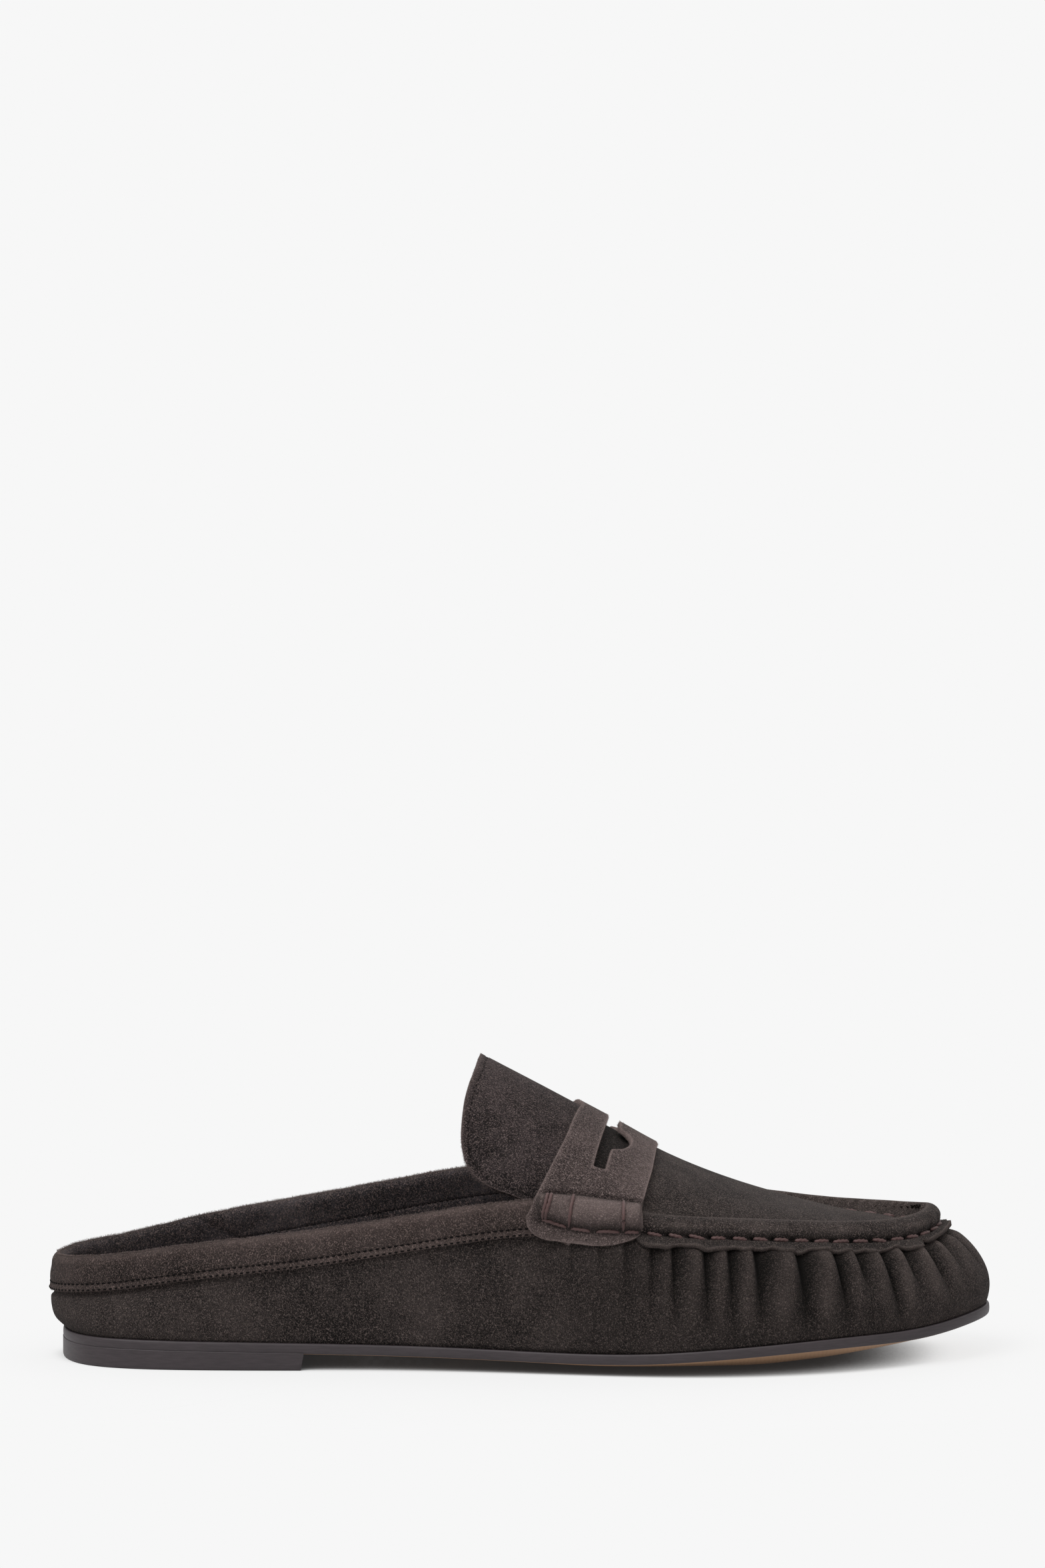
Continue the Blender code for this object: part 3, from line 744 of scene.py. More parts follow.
def gathered(u, q):                     # how far the gathers push the wall out, the painted shade of its troughs, and its crests
    s = alongSeam(u)
    below = np.clip(1 - q, 0, 1) * gathers["high"]
    swell, deep = np.ones(s.shape), np.zeros(s.shape)
    for (a, deepA, longA), (b, deepB, longB) in zip(gathers["creases"], gathers["creases"][1:]):
        here = (s >= a) & (s < b)
        t = (s[here] - a) / (b - a)
        first = gathers["deepen"] * deepA * (1 - ramp(gathers["fade"] * longA, longA, below[here]))
        second = gathers["deepen"] * deepB * (1 - ramp(gathers["fade"] * longB, longB, below[here]))
        deep[here] = first + (second - first) * t
        soft = np.sin(math.pi * t)
        if a > 0:                       # the inner side's are the other way round
            t = 1 - t
        sharp = gathers["full"] * t ** gathers["rise"] * np.sqrt(1 - t ** gathers["fall"])
        if a * b < 0:                   # the one across the toe tip is even
            sharp = np.sqrt(soft)
        swell[here] = sharp + (soft - sharp) * ramp(*gathers["softDeep"], below[here])
    zone = ramp(*gathers["outer"], s) * ramp(*gathers["inner"], -s)
    puff = gathers["puff"] * zone * (1 - gathers["flatToe"] * hump(s, 0, 28))
    push = puff * (1 - ramp(*gathers["puffDeep"], below)) - deep * (1 - swell)
    # painted shade: darker in the troughs, and over the gathered zone but the toe tip
    shaded = np.clip(1 - swell, 0, 1) ** 1.3 * deep / 2 + 0.36 * zone * (1 - hump(s, 0, 32))
    return push, shaded, np.clip(swell, 0, 1) ** 4 * deep / 2


def makeWall(looks):
    side = np.linspace(0, wallPiece["fineFrom"], wallPiece["coarse"], endpoint=False)
    front = np.linspace(wallPiece["fineFrom"], around - wallPiece["fineFrom"], wallPiece["fine"])
    u = np.concatenate((side, front, around - side[::-1]))[:, None]
    share = np.linspace(0, 1, wallPiece["rows"] + 1)[None, :]
    top = 2 - ramp(wallPiece["topFrom"], wallPiece["topTo"], fromHeel(u))
    q = share * top
    u, q = np.broadcast_arrays(u, q)
    push, trough, crest = gathered(u, q)
    slack = wallPiece["slack"] * np.sin(u * 7.3 + 3 * q) * np.sin(5.1 * q + u * 2.2) * ramp(0, 1, fromHeel(u))
    seam = ramp(last["collarEnd"], last["ridgeStart"], fromHeel(u))
    offset = push * (1 - 0.6 * ramp(0.94, 1, q)) + slack * (1 - ramp(0.7, 1, q)) * ramp(0, 0.2, q)
    heel = wallPiece["heelFull"] * hump(fromHeel(u), 0, 1)
    offset = offset + heel * ramp(0, 0.35, q) * (1 - ramp(0.85, 1, q))
    offset = offset - wallPiece["tuck"] * seam * ramp(1, 1.15, q)
    offset = offset - wallPiece["drawn"] * seam * ramp(0.8, 0.97, q)
    points = wall(u, q) + offset[..., None] * wallNormal(u, q)
    x, s = points[..., 0], alongSeam(u)
    # darker at the heel; painted shade below the strap and low on the wall at the toe
    paintedDark = wallPiece["darkHeel"] * (1 - ramp(-100, -60, x)) + wallPiece["shadeStrap"] * hump(x, 14, 20)
    paintedDark = paintedDark + wallPiece["shadeFoot"] * ramp(40, 60, x) * (1 - ramp(0.15, 0.4, q))
    # crests paler: brushed nap and painted highlight
    bright = wallPiece["wearAndHighlight"] + wallPiece["highlightFront"] * hump(np.abs(s), 20, 11)
    bright = bright - wallPiece["tipLessPale"] * hump(s, 0, 7)
    piece = gridPiece("upperWall", points, {"pale": bright * crest, "dark": trough + paintedDark})
    edit(piece, mergeDoubles)
    faceOut(piece, 30)
    wear(piece, looks)
    thicken(piece, wallPiece["thick"], lined=1)
    dress(piece, (), ("upper",))


# The apron, with the rolled ridge round it and the cut edge below the stitches
apronPiece = {
    "lines": 250, "across": 76, "thick": 1.2, "back": 7.55,
    "flange": 3.5, "flangeOut": 0.74, "flangeDown": 0.67,       # the cut edge: its length and way
    "flangeFrom": 8.06, "flangeFull": 8.2, "flangeWavy": 0.95,
    "notchAt": -17.5, "notchDeep": 1.6,         # a cut in it near the toe, mm from the toe
    "groove": 2.6, "grooveToe": 3.5, "grooveAt": 2.4,           # valley behind the ridge
    "bareFrom": (8.05, 8.4),                    # rows where it comes out from under the strap
    "strapDown": 1.45,                          # below the strap it lies this much lower
    "pitch": 5.75,                              # hand stitches
}
handThread = {"sides": 12, "twist": 2.6, "ply": 0.18}
seamThread = {
    "from": 8.22, "long": 4.3, "proud": 0.25,   # the row below the ridge
    "innerFrom": 9.6, "innerLong": 3.6, "innerIn": 2.0, "innerHigh": 0.45,      # the row in the valley
    "thick": 0.52, "rings": 15,
}


def flangeWave(s):                      # the cut edge ripples over the gathers
    return 0.42 * np.sin(s / 1.9 + 0.6) + 0.38 * np.sin(s / 3.1 + 1.7) + 0.2 * np.sin(s / 0.83)


def flangePoints(c, u, reach):
    s = alongSeam(u)
    front = 1 - ramp(8, 22, np.abs(s))          # round the toe it is calmer and flatter
    calm = 1 - 0.7 * front
    full = 0.07 + 0.93 * ramp(apronPiece["flangeFrom"], apronPiece["flangeFull"], c)
    length = apronPiece["flange"] - 0.5 * front + apronPiece["flangeWavy"] * calm * flangeWave(s)
    length = (length - apronPiece["notchDeep"] * hump(s, apronPiece["notchAt"], 0.5)) * full
    out = apronPiece["flangeOut"] + 0.1 * front
    down = apronPiece["flangeDown"] - 0.55 * front
    shift = (reach * length * out)[..., None] * outward(u, rim) - (reach * length * down)[..., None] * up
    pushed = gathered(u, np.full(u.shape, 0.9))[0]
    ruffle = reach ** 1.5 * (0.5 + 0.45 * pushed + 0.5 * calm * flangeWave(s + 2))
    return shift + (ruffle * full)[..., None] * wallNormal(u, 0.92)


def apronPoints(c, place):
    c, place = np.broadcast_arrays(c, place)
    beyond = np.abs(place)
    u = np.where(place < 0, c, around - c)
    inside = instep(c, np.clip(place, -1, 1))
    rimLine = section(np.linspace(last["throat"] - 1, around - last["throat"] + 1, 500))[:, rim][:, :2]
    gap = np.full(c.shape, 100.0)
    for point in rimLine:
        gap = np.minimum(gap, np.hypot(inside[..., 0] - point[0], inside[..., 1] - point[1]))
    bare = ramp(*apronPiece["bareFrom"], c)     # no ridge or valley under the strap
    deep = apronPiece["groove"] + (apronPiece["grooveToe"] - apronPiece["groove"]) * ramp(10, 13, c)
    way = gap / apronPiece["grooveAt"]
    inside = inside - (bare * deep * way * np.exp(1 - way))[..., None] * up
    under = 1 - ramp(28, 33, inside[..., 0])    # the part below the strap
    inside = inside - (apronPiece["strapDown"] * under * (1 - np.clip(beyond, 0, 1) ** 4))[..., None] * up
    points = np.where(beyond[..., None] <= 1, inside, wall(u, 3 - np.clip(beyond, 1, 2)))
    points = points + flangePoints(c, u, np.clip(beyond - 2, 0, 1))
    s = alongSeam(u)
    swell = 0.45 * np.sin(math.pi * np.clip(beyond - 1, 0, 1)) + 0.3
    swell = swell + 0.16 * np.sin(s / 2.3) * np.sin(s / 5.1 + 1) * np.clip(beyond - 1, 0, 1)
    swell = swell - 0.22 * np.cos(2 * math.pi * s / apronPiece["pitch"]) * hump(beyond, 1.72, 0.22)
    pinch = hump(beyond, 2, 0.13)
    hole = np.cos(math.pi * s / apronPiece["pitch"]) ** 8 * hump(beyond, 2, 0.1)
    lift = np.where(beyond > 1, swell - 0.6 * pinch - 0.5 * hole, 0.3 * hump(gap, 0, 1.1))
    points = points + (bare * lift)[..., None] * wallNormal(u, 3 - np.clip(beyond, 1, 2))
    # painted shade in the valley behind the ridge
    paintedShade = np.where(beyond < 1, hump(gap, apronPiece["grooveAt"], 1.3), 0)
    # painted shade in the needle holes, the pinch at the stitch line and under the strap; the flange darker
    dark = 0.8 * hole + 0.45 * pinch + 0.4 * paintedShade + 0.3 * ramp(2.1, 2.5, beyond)
    # paler raw edge of the flange; painted highlight along the ridge's crest and its lower face
    pale = 0.45 * ramp(2.75, 2.98, beyond) + 0.25 * hump(beyond, 1.06, 0.14)
    pale = pale + 0.2 * hump(beyond, 1.62, 0.12) * (0.6 + 0.4 * np.sin(s / 3.7))
    return points, pale * bare, dark * bare + 0.85 * under * (1 - bare)


def makeApron(looks):
    c = np.linspace(apronPiece["back"], toe, apronPiece["lines"])[:, None]
    edge = np.concatenate((np.linspace(3, 2.1, 10), np.linspace(2.05, 1.9, 6), np.linspace(1.84, 1.06, 14)))
    place = np.concatenate((-edge, sineSteps(apronPiece["across"]), edge[::-1]))[None, :]
    left = toe - c                              # near the toe the lines are spread apart
    spread = 0.8 * np.sqrt(left) * np.exp(-left / 1.2) * (1 - np.clip(np.abs(place), 0, 1) ** 6)
    points, pale, dark = apronPoints(c - spread, place)
    bare = c[:, 0] > apronPiece["flangeFull"]
    for line, inner, u in ((0, 1, c[bare, 0]), (-1, -2, around - c[bare, 0])):
        rawEdge(points[bare, line], points[bare, inner], unit(outward(u, rim) + up), -apronPiece["thick"])
    piece = gridPiece("apron", points, {"pale": pale, "dark": dark})
    edit(piece, mergeDoubles)
    faceOut(piece, 20)
    thicken(piece, apronPiece["thick"])
    dress(piece, looks)


def nearestHeight(points, spots):       # height of a surface under each of some spots
    flat = points.reshape(-1, 3)
    return np.array([flat[np.argmin(np.hypot(flat[:, 0] - x, flat[:, 1] - y)), 2] for x, y in spots])


def makeSeamStitches(look):
    u = np.linspace(seamThread["from"], around - seamThread["from"], 900)
    out = wallNormal(u, 1)
    line = wall(u, 1) + seamThread["proud"] * out
    pitch, rings = apronPiece["pitch"], seamThread["rings"]
    paths = stitchPaths(line, out, pitch, seamThread["long"], rings, bow=0.6, tilt=0.15, uneven=0.14)
    u = np.linspace(seamThread["innerFrom"], around - seamThread["innerFrom"], 700)
    inner = section(u)[:, rim] - seamThread["innerIn"] * outward(u, rim)
    c = np.linspace(last["throat"], toe, 160)[:, None]
    surface = apronPoints(c, sineSteps(80)[None, :])[0]
    inner[:, 2] = nearestHeight(surface, inner[:, :2]) + seamThread["innerHigh"]
    out = unit(up - 0.9 * outward(u, rim))
    paths += stitchPaths(inner, out, pitch, seamThread["innerLong"], rings, bow=0.5)
    dress(tubes("seamThread", paths, seamThread["thick"], **handThread), (look,))


# The binding folded over the collar
bindingPiece = {
    "columns": 420, "end": 6.95, "thick": 0.95, "clear": 0.12, "crest": 0.5,
    "legSteps": (0, 0.04, 0.08, 0.12, 0.15, 0.175, 0.2, 0.225, 0.25, 0.29, 0.36, 0.46, 0.58, 0.72, 0.86, 1),
    "pitch": 1.7, "stitch": 1.15, "thread": 0.26,
    "outerRow": 0.2, "edgeRow": 0.03, "innerRow": 2.8,      # where the rows of stitches run
    "spliceAt": 24.9, "spliceLean": 0.45, "spliceWide": 0.045,      # slanted join on the inner side, rows
}


def bindingPoints(u, fold):             # fold: to 1 up the outside, to 2 over the edge, to 3 down the lining
    u, fold = np.broadcast_arrays(np.asarray(u, float), np.asarray(fold, float))
    clear = bindingPiece["clear"]
    q = np.where(fold <= 1, 1.08 + 0.82 * np.clip(fold, 0, 1), 1.9 - 0.9 * np.clip(fold - 2, 0, 1))
    surface, out = wall(u, q), wallNormal(u, q)
    groove = hump(fold, bindingPiece["outerRow"], 0.05) + hump(fold, bindingPiece["innerRow"], 0.05)
    rest = clear - 0.3 * groove + 0.15 * hump(fold, 0, 0.13)
    rest = rest + 0.2 * np.sin(math.pi * np.clip(fold, 0, 1)) ** 2
    legs = np.where(fold <= 1, rest, -last["wall"] - rest)
    straight = surface + legs[..., None] * out
    shoulder, edge = wall(u, 1.9), wallNormal(u, 1.9)
    middle = shoulder - last["wall"] / 2 * edge
    radius = last["wall"] / 2 + clear
    turn = math.pi * np.clip(fold - 1, 0, 1)
    rise = (radius + bindingPiece["crest"]) * np.sin(turn)
    over = middle + radius * np.cos(turn)[..., None] * edge + rise[..., None] * up
    return np.where(((fold > 1) & (fold < 2))[..., None], over, straight)


def makeBinding(look, thread):
    u = np.linspace(-bindingPiece["end"], bindingPiece["end"], bindingPiece["columns"] + 1)[:, None]
    leg = np.array(bindingPiece["legSteps"])
    fold = np.concatenate((leg, np.linspace(1.09, 1.91, 10), 3 - leg[::-1]))[None, :]
    points = bindingPoints(u, fold)
    ripple = 0.05 * np.sin(u * 9.1 + 2 * fold) + 0.03 * np.sin(u * 17.3 - fold)
    points = points + (ripple * ramp(0.3, 0.6, fold) * ramp(0.2, 0.6, 3 - fold))[..., None] * up
    across = u - bindingPiece["spliceAt"] + around + bindingPiece["spliceLean"] * (fold - 2)
    splice = hump(across, 0, bindingPiece["spliceWide"]) * ramp(1.3, 1.6, fold)
    points = points + (0.3 * splice)[..., None] * wallNormal(u + 0 * fold, 1.9)
    cut = 0.2 * hump(fold, 0, 0.1) + 0 * u
    rows = hump(fold, bindingPiece["outerRow"], 0.035) + hump(fold, bindingPiece["innerRow"], 0.035)
    rawEdge(points[:, 0], points[:, 2], wallNormal(u[:, 0], 1.1), bindingPiece["thick"])
    crest = points[:, fold.shape[1] // 2] + (bindingPiece["thick"] + 0.1) * up
    rawEdge(crest, crest - up, wallNormal(u[:, 0], 1.5), 1)
    # the inner leg gets the grey mark: painted shade
    inside = ramp(1.5, 1.75, fold) + 0 * u
    # painted highlight near the top edge, and paler away from the heel
    wearAndHighlight = 0.16 * hump(fold, 1.25, 0.3) + 0.1 * ramp(2.5, 5.5, np.abs(u)) * (1 - inside)
    heel = 1 - ramp(1.5, 4.5, np.abs(u))
    marks = {
        "pale": cut + wearAndHighlight,
        # painted shade in the stitch grooves; a dark join; darker at the heel
        "dark": 0.4 * rows + 0.6 * splice + 0.22 * heel,
        "grey": inside,
    }
    piece = gridPiece("collarBinding", points, marks)
    faceOut(piece, 0)
    thicken(piece, bindingPiece["thick"], outwards=True)
    modify(piece, "BEVEL", width=0.25 * mm, segments=2, limit_method="ANGLE", angle_limit=math.radians(70))
    dress(piece, (look,), ("collar_binding",))
    u = np.linspace(-bindingPiece["end"] + 0.1, bindingPiece["end"] - 0.1, 1500)
    outs = wallNormal(u, 1.2)
    full = bindingPiece["thick"] + 0.14
    lines = (
        (bindingPoints(u, bindingPiece["outerRow"]) + full * outs, outs),
        (bindingPoints(u, bindingPiece["edgeRow"]) + (full - 0.18) * outs, outs),
        (bindingPoints(u, bindingPiece["innerRow"]) - (full - 0.2) * outs, -outs),
    )
    paths = []
    for line, way in lines:
        paths += stitchPaths(line, way, bindingPiece["pitch"], bindingPiece["stitch"], 5, 0.1)
    dress(tubes("collarStitches", paths, bindingPiece["thread"], 6), (thread,))


# The tongue
tonguePiece = {
    "edge": (           # place across, x of the free edge on the outer side, on the inner side
        (0, -10.7, -10.7), (0.27, -11.9, -11.2), (0.45, -13.7, -12.4), (0.61, -15.3, -13.9),
        (0.765, -16.1, -15.2), (0.84, -15.2, -14.6), (0.885, -13, -12.6), (0.92, -8.6, -8.6),
        (0.945, -1.8, -1.8), (1, 10, 10),
    ),
    "front": last["throat"] - 0.055, "clear": 4.2, "tuck": 5.0, "thick": 1.8,
    "lines": 60, "across": 110,
    "slack": 0.35, "proud": 0.35,
    "strapFrom": (17, 19.5), "strapDown": 3.6,  # below the strap it lies this much lower
    "stitchIn": 1.9, "pitch": 1.9, "stitch": 1.2, "thread": 0.14, "sunk": 0.02,
    "skip": 6,                                  # lines at each side that have no stitches
}


def fromShin(points):                   # the way out of the tongue, square to the shoe's length
    return unit((points - np.array((0, 0, 30))) * np.array((0, 1, 1)))


def makeTongue(looks, thread):
    shares = sineSteps(tonguePiece["across"])
    outer = openCurve([row[:2] for row in tonguePiece["edge"]])
    inner = openCurve([row[::2] for row in tonguePiece["edge"]])
    free = rowAt(np.where(shares < 0, outer(-shares), inner(shares)))[None, :]
    along = (1 - (1 - np.linspace(0, 1, tonguePiece["lines"] + 1)) ** 1.6)[:, None]
    c = tonguePiece["front"] + (free - tonguePiece["front"]) * along
    ends = [section(u)[..., rim] - tonguePiece["clear"] * outward(u, rim) for u in (c, around - c)]
    points = arched(ends[0] - tonguePiece["tuck"] * up, ends[1] - tonguePiece["tuck"] * up, shares[None, :])
    inward = np.full(c.shape, 100.0)
    for point in points[-1]:
        inward = np.minimum(inward, np.linalg.norm(points - point, axis=-1))
    groove = hump(inward, tonguePiece["stitchIn"], 0.45)
    x, y = points[..., 0], points[..., 1]
    slack = tonguePiece["slack"] * np.sin(x / 3.1 + y / 9) * np.sin(y / 7 + 0.6)
    under = ramp(*tonguePiece["strapFrom"], x)
    shift = 0.5 * slack * ramp(2, 9, inward) * np.abs(shares) - 0.25 * groove
    shift = shift + tonguePiece["proud"] * (1 - under) - tonguePiece["strapDown"] * under
    points = points + shift[..., None] * up
    # paler raw edge; painted shade along the stitch groove and under the strap
    marks = {"pale": 0.5 * np.exp(-inward / 0.4), "dark": 0.35 * groove + 0.85 * under}
    rawEdge(points[-1], points[-2], fromShin(points[-1]), -tonguePiece["thick"])
    piece = gridPiece("tongueFlap", points, marks)
    faceOut(piece, 20)
    wear(piece, looks)
    thicken(piece, tonguePiece["thick"], lined=1)
    dress(piece, (), ("tongue",))
    sewn = range(tonguePiece["skip"], len(shares) - tonguePiece["skip"])
    # where each line of the tongue crosses the stitch row
    line = np.array([pick(tonguePiece["stitchIn"], inward[::-1, k], points[::-1, k]) for k in sewn])
    outs = fromShin(line)
    line = line - tonguePiece["sunk"] * outs
    paths = stitchPaths(line, outs, tonguePiece["pitch"], tonguePiece["stitch"], 5, 0.1)
    dress(tubes("tongueStitches", paths, tonguePiece["thread"], 6), (thread,))


# The saddle strap, with its keeper slot and a sewn roll at each end
strapPiece = {
    # place across, back x, front x: the place is 1 on the rim, and then a tenth more for each mm down
    "outline": (
        (0, 16.5, 36.6), (0.6, 12.4, 35.4), (0.88, 8.0, 33.8), (0.97, 5.2, 33.0), (1, 3.6, 32.8),
        (1.31, 1.8, 32.8), (1.54, 2.1, 32.2), (1.64, 2.7, 31.1), (1.77, 3.8, 28.4), (1.86, 5.3, 26),
        (1.92, 6.9, 23.6), (1.95, 9.6, 21.6), (1.97, 12.6, 19.4),
    ),
    "below": (          # mm below the rim of each row of the tab
        9.7, 9.6, 9.45, 9.2, 8.8, 8.3, 7.7, 7, 6.4, 5.8, 5.3, 4.9, 4.5, 4, 3.5, 3, 2.5, 2, 1.5, 1, 0.5,
    ),
    "thick": 1.5,
    "overBinding": 1.5,                         # the rear of the tab lies on the binding
    "slotFrom": -0.8, "slotTo": 0.8,            # places where the slot ends
    "slotBack": 23.3, "slotSweep": 4.0, "slotWide": 3.4,
    "notchAt": 0.38, "notchHalf": 0.2, "notchDeep": 4.2,    # two half moons in its front edge
    "rollTop": -2.7, "rollHigh": 3.5,           # the roll starts this far above the rim
    "rollFoot": ((2, 3.6), (6.4, 4.3), (13, 6.0), (20, 6.9), (27, 6.4), (33, 6.0)),     # x, mm below the rim
    "rollBack": 4.6, "rollRound": 3.2,          # its rear end is rounded
    "wraps": ((7.8, 6.1), (8.9, 6.9), (14.8, 13.3), (28.2, 28.1)),      # x at the top and foot of each wrap
    "stitches": ((6.0, 12.8), (13.8, 19.2), (20.6, 27.2), (28.4, 32.3)),    # x from and to, along its foot
    "thread": 0.48,
}
slotLines = 24, 27                      # lines of the strap's grid along the slot's back and front


def footOfRoll(x):
    return np.interp(x, *zip(*strapPiece["rollFoot"]))


def wallBelow(u, depth):                # the point of the wall this far below the rim
    q = np.linspace(0.4, 2, 81)
    points = wall(u[..., None], q)
    drop = points[..., -1:, 2] - points[..., 2]
    found = np.empty(u.shape)
    for spot in np.ndindex(u.shape):
        found[spot] = np.interp(depth[spot], drop[spot][::-1], q[::-1])
    return wall(u, found)


def overFoot(c, place):
    u = np.where(place < 0, c, around - c)
    beyond = np.abs(place)
    side = wallBelow(u, 10 * np.clip(beyond - 1, 0, 1))
    return np.where(beyond[..., None] <= 1, instep(c, np.clip(place, -1, 1)), side)


def makeStrap(look, thread):
    strapBack = openCurve([row[:2] for row in strapPiece["outline"]])
    strapFront = openCurve([row[::2] for row in strapPiece["outline"]])
    below = 1 + np.array(strapPiece["below"]) / 10
    steep = np.concatenate((np.linspace(1, 0.949, 18), (0.942, 0.932, 0.92, 0.905, 0.88, 0.85)))
    start, stop = strapPiece["slotFrom"], strapPiece["slotTo"]
    middle = np.linspace(start, stop, 61)[2:-2]
    slotRows = np.concatenate(((start - 0.02, start, start + 0.02), middle, (stop - 0.02, stop, stop + 0.02)))
    place = np.concatenate((-below, -steep, slotRows, steep[::-1], below[::-1]))[:, None]
    level = np.clip(place, -1, 1)
    back, front = strapBack(np.abs(place)), strapFront(np.abs(place))
    innerBack, innerFront = strapBack(np.abs(level)), strapFront(np.abs(level))
    slotBack = strapPiece["slotBack"] - strapPiece["slotSweep"] * np.abs(level / start) ** 1.6
    bite = np.clip(1 - ((np.abs(level) - strapPiece["notchAt"]) / strapPiece["notchHalf"]) ** 2, 0, 1)
    slotFront = slotBack + strapPiece["slotWide"] + strapPiece["notchDeep"] * np.sqrt(bite)
    slitLow, slitHigh = ((slot - innerBack) / (innerFront - innerBack) for slot in (slotBack, slotFront))
    rearSteps = np.concatenate(((0, 0.02, 0.05, 0.09), np.linspace(0.14, 0.86, 17), (0.91, 0.95, 0.98, 1)))
    frontSteps = np.concatenate((np.linspace(0, 0.88, 16), (0.93, 0.96, 0.98, 1)))
    inSlot = slitLow + (slitHigh - slitLow) * np.array(((0.33, 0.67),))
    share = np.concatenate((slitLow * rearSteps, inSlot, slitHigh + (1 - slitHigh) * frontSteps), 1)
    c = rowAt(back + (front - back) * share)
    place = np.broadcast_to(place, c.shape)
    beyond = np.abs(place)
    points = overFoot(c, place)
    x = points[..., 0].copy()
    near = (0.3 * ramp(0.88, 0.96, beyond) * (1 - ramp(1.2, 1.35, beyond)))[1:-1, :, None]
    for _ in range(6):                          # eases the bend at the foot of the instep
        points[1:-1] += near * (points[:-2] / 2 - points[1:-1] + points[2:] / 2)
    steps = np.linalg.norm(np.diff(points, axis=0), axis=-1)
    arc = np.concatenate((np.zeros((1, c.shape[1])), np.cumsum(steps, 0)))
    rims = [int(np.argmin(np.abs(place[:, 0] - side))) for side in (-1, 1)]
    down = np.where(place < 0, arc[rims[0]] - arc, arc - arc[rims[1]])      # mm from the rim
    rollTop, rollFoot = strapPiece["rollTop"], footOfRoll(x)
    v = np.clip((down - rollTop) / (rollFoot - rollTop), 0, 1)              # 0 to 1 over the roll
    rear = np.clip((strapPiece["rollBack"] + strapPiece["rollRound"] - x) / strapPiece["rollRound"], 0, 1)
    ends = np.sqrt(1 - rear ** 2) * np.sqrt(np.clip((front[:, :1] - x) / 0.8, 0, 1))
    arch = np.sqrt(np.clip(1 - (2 * v - 1) ** 2, 0, 1))
    bulge = strapPiece["rollHigh"] * arch * ends
    for first, second in strapPiece["wraps"]:
        bulge = bulge * (1 - 0.22 * hump(x - first, (second - first) * v, 0.9))
    out = unit(np.cross(np.gradient(points, axis=1), np.gradient(points, axis=0)))
    u = np.where(place < 0, c, around - c)
    low = ramp(1.25, 1.5, beyond)[..., None]
    out = unit(out * (1 - low) + wallNormal(u, 0.95) * low)
    way = unit(0.85 * outward(u, rim) + 0.5 * up)
    rest = strapPiece["thick"] + strapPiece["overBinding"] * (1 - ramp(7.5, 13, x)) * ramp(0.8, 1, beyond)
    rest = rest - 0.4 * hump(v, 1, 0.12) * ramp(0.99, 1.02, beyond) * ramp(4, 8, x)
    rest = rest - 0.5 * hump(down - rollTop, -0.5, 0.6) * ramp(5, 9, x)
    points = points + rest[..., None] * out + bulge[..., None] * way
    cut = np.minimum(np.minimum(share, 1 - share) * 28, (1.97 - beyond) * 10)
    slotted = (place > start - 0.01) & (place < stop + 0.01)
    slit = np.where(slotted, np.minimum(np.abs(share - slitLow), np.abs(share - slitHigh)) * 20, 9)
    # paler raw edges; painted highlight on the roll's bulge; paler towards the front on top and on the tab
    # below
    pale = 0.6 * np.exp(-np.minimum(cut, slit) / 0.35) + 0.3 * arch * ends
    pale = pale + 0.16 * ramp(0.55, 0.95, share) * (1 - ramp(0.9, 1, beyond)) + 0.14 * ramp(1.4, 1.6, beyond)
    # painted shade in the crease above the roll, along its foot, on its lower side and in its open rear end
    dark = 0.9 * hump(down, rollTop, 0.75) * ramp(5, 8, x)
    dark = dark + 0.9 * hump(down, rollFoot, 0.8) * ramp(4, 7, x) + 0.1 * ramp(0.55, 1, v)
    rearEnd = hump(x - strapPiece["rollBack"], 0.8, 1.1)
    dark = dark + 0.8 * rearEnd * ramp(0, 0.3, v) * (1 - ramp(0.8, 1, v))
    for line, inner in ((0, 1), (-1, -2)):
        rawEdge(points[:, line], points[:, inner], out[:, line], -strapPiece["thick"])
        rawEdge(points[line], points[inner], out[line], -strapPiece["thick"])
    rows = slotted[:, 0]
    for line, inner in ((slotLines[0], slotLines[0] - 1), (slotLines[1], slotLines[1] + 1)):
        rawEdge(points[rows, line], points[rows, inner], out[rows, line], -strapPiece["thick"])
    piece = gridPiece("saddleStrap", points, {"pale": pale, "dark": dark})
    corners = np.empty(len(piece.data.polygons) * 4, np.int32)
    piece.data.polygons.foreach_get("vertices", corners)
    i, j = corners.reshape(-1, 4) % len(place), corners.reshape(-1, 4) // len(place)
    gone = rows[i].all(1) & (j >= slotLines[0]).all(1) & (j <= slotLines[1]).all(1)
    edit(piece, lambda: bpy.ops.mesh.select_all(action="DESELECT"))
    piece.data.polygons.foreach_set("select", gone)
    bpy.ops.object.mode_set(mode="EDIT")
    bpy.ops.mesh.delete(type="FACE")
    bpy.ops.object.mode_set(mode="OBJECT")
    faceOut(piece, 20)
    crisp = {"edge_crease_inner": 0.9, "edge_crease_outer": 0.85}
    modify(piece, "SOLIDIFY", thickness=strapPiece["thick"] * mm, offset=-1, **crisp)
    soften(piece)
    dress(piece, (look,), ("saddle_strap",))

    def spot(side, x, deep):                    # a point of the strap's face, and the way out of it
        rows = [k for k in range(len(place)) if side * place[k, 0] > 0.8]
        rows.sort(key=lambda k: abs(place[k, 0]))
        values = np.concatenate((points, way, down[..., None]), -1)
        found = np.array([[np.interp(x, points[k, :, 0], values[k, :, n]) for n in range(7)] for k in rows])
        found = [np.interp(deep, found[:, 6], found[:, n]) for n in range(6)]
        return np.array(found[:3]), np.array(found[3:])

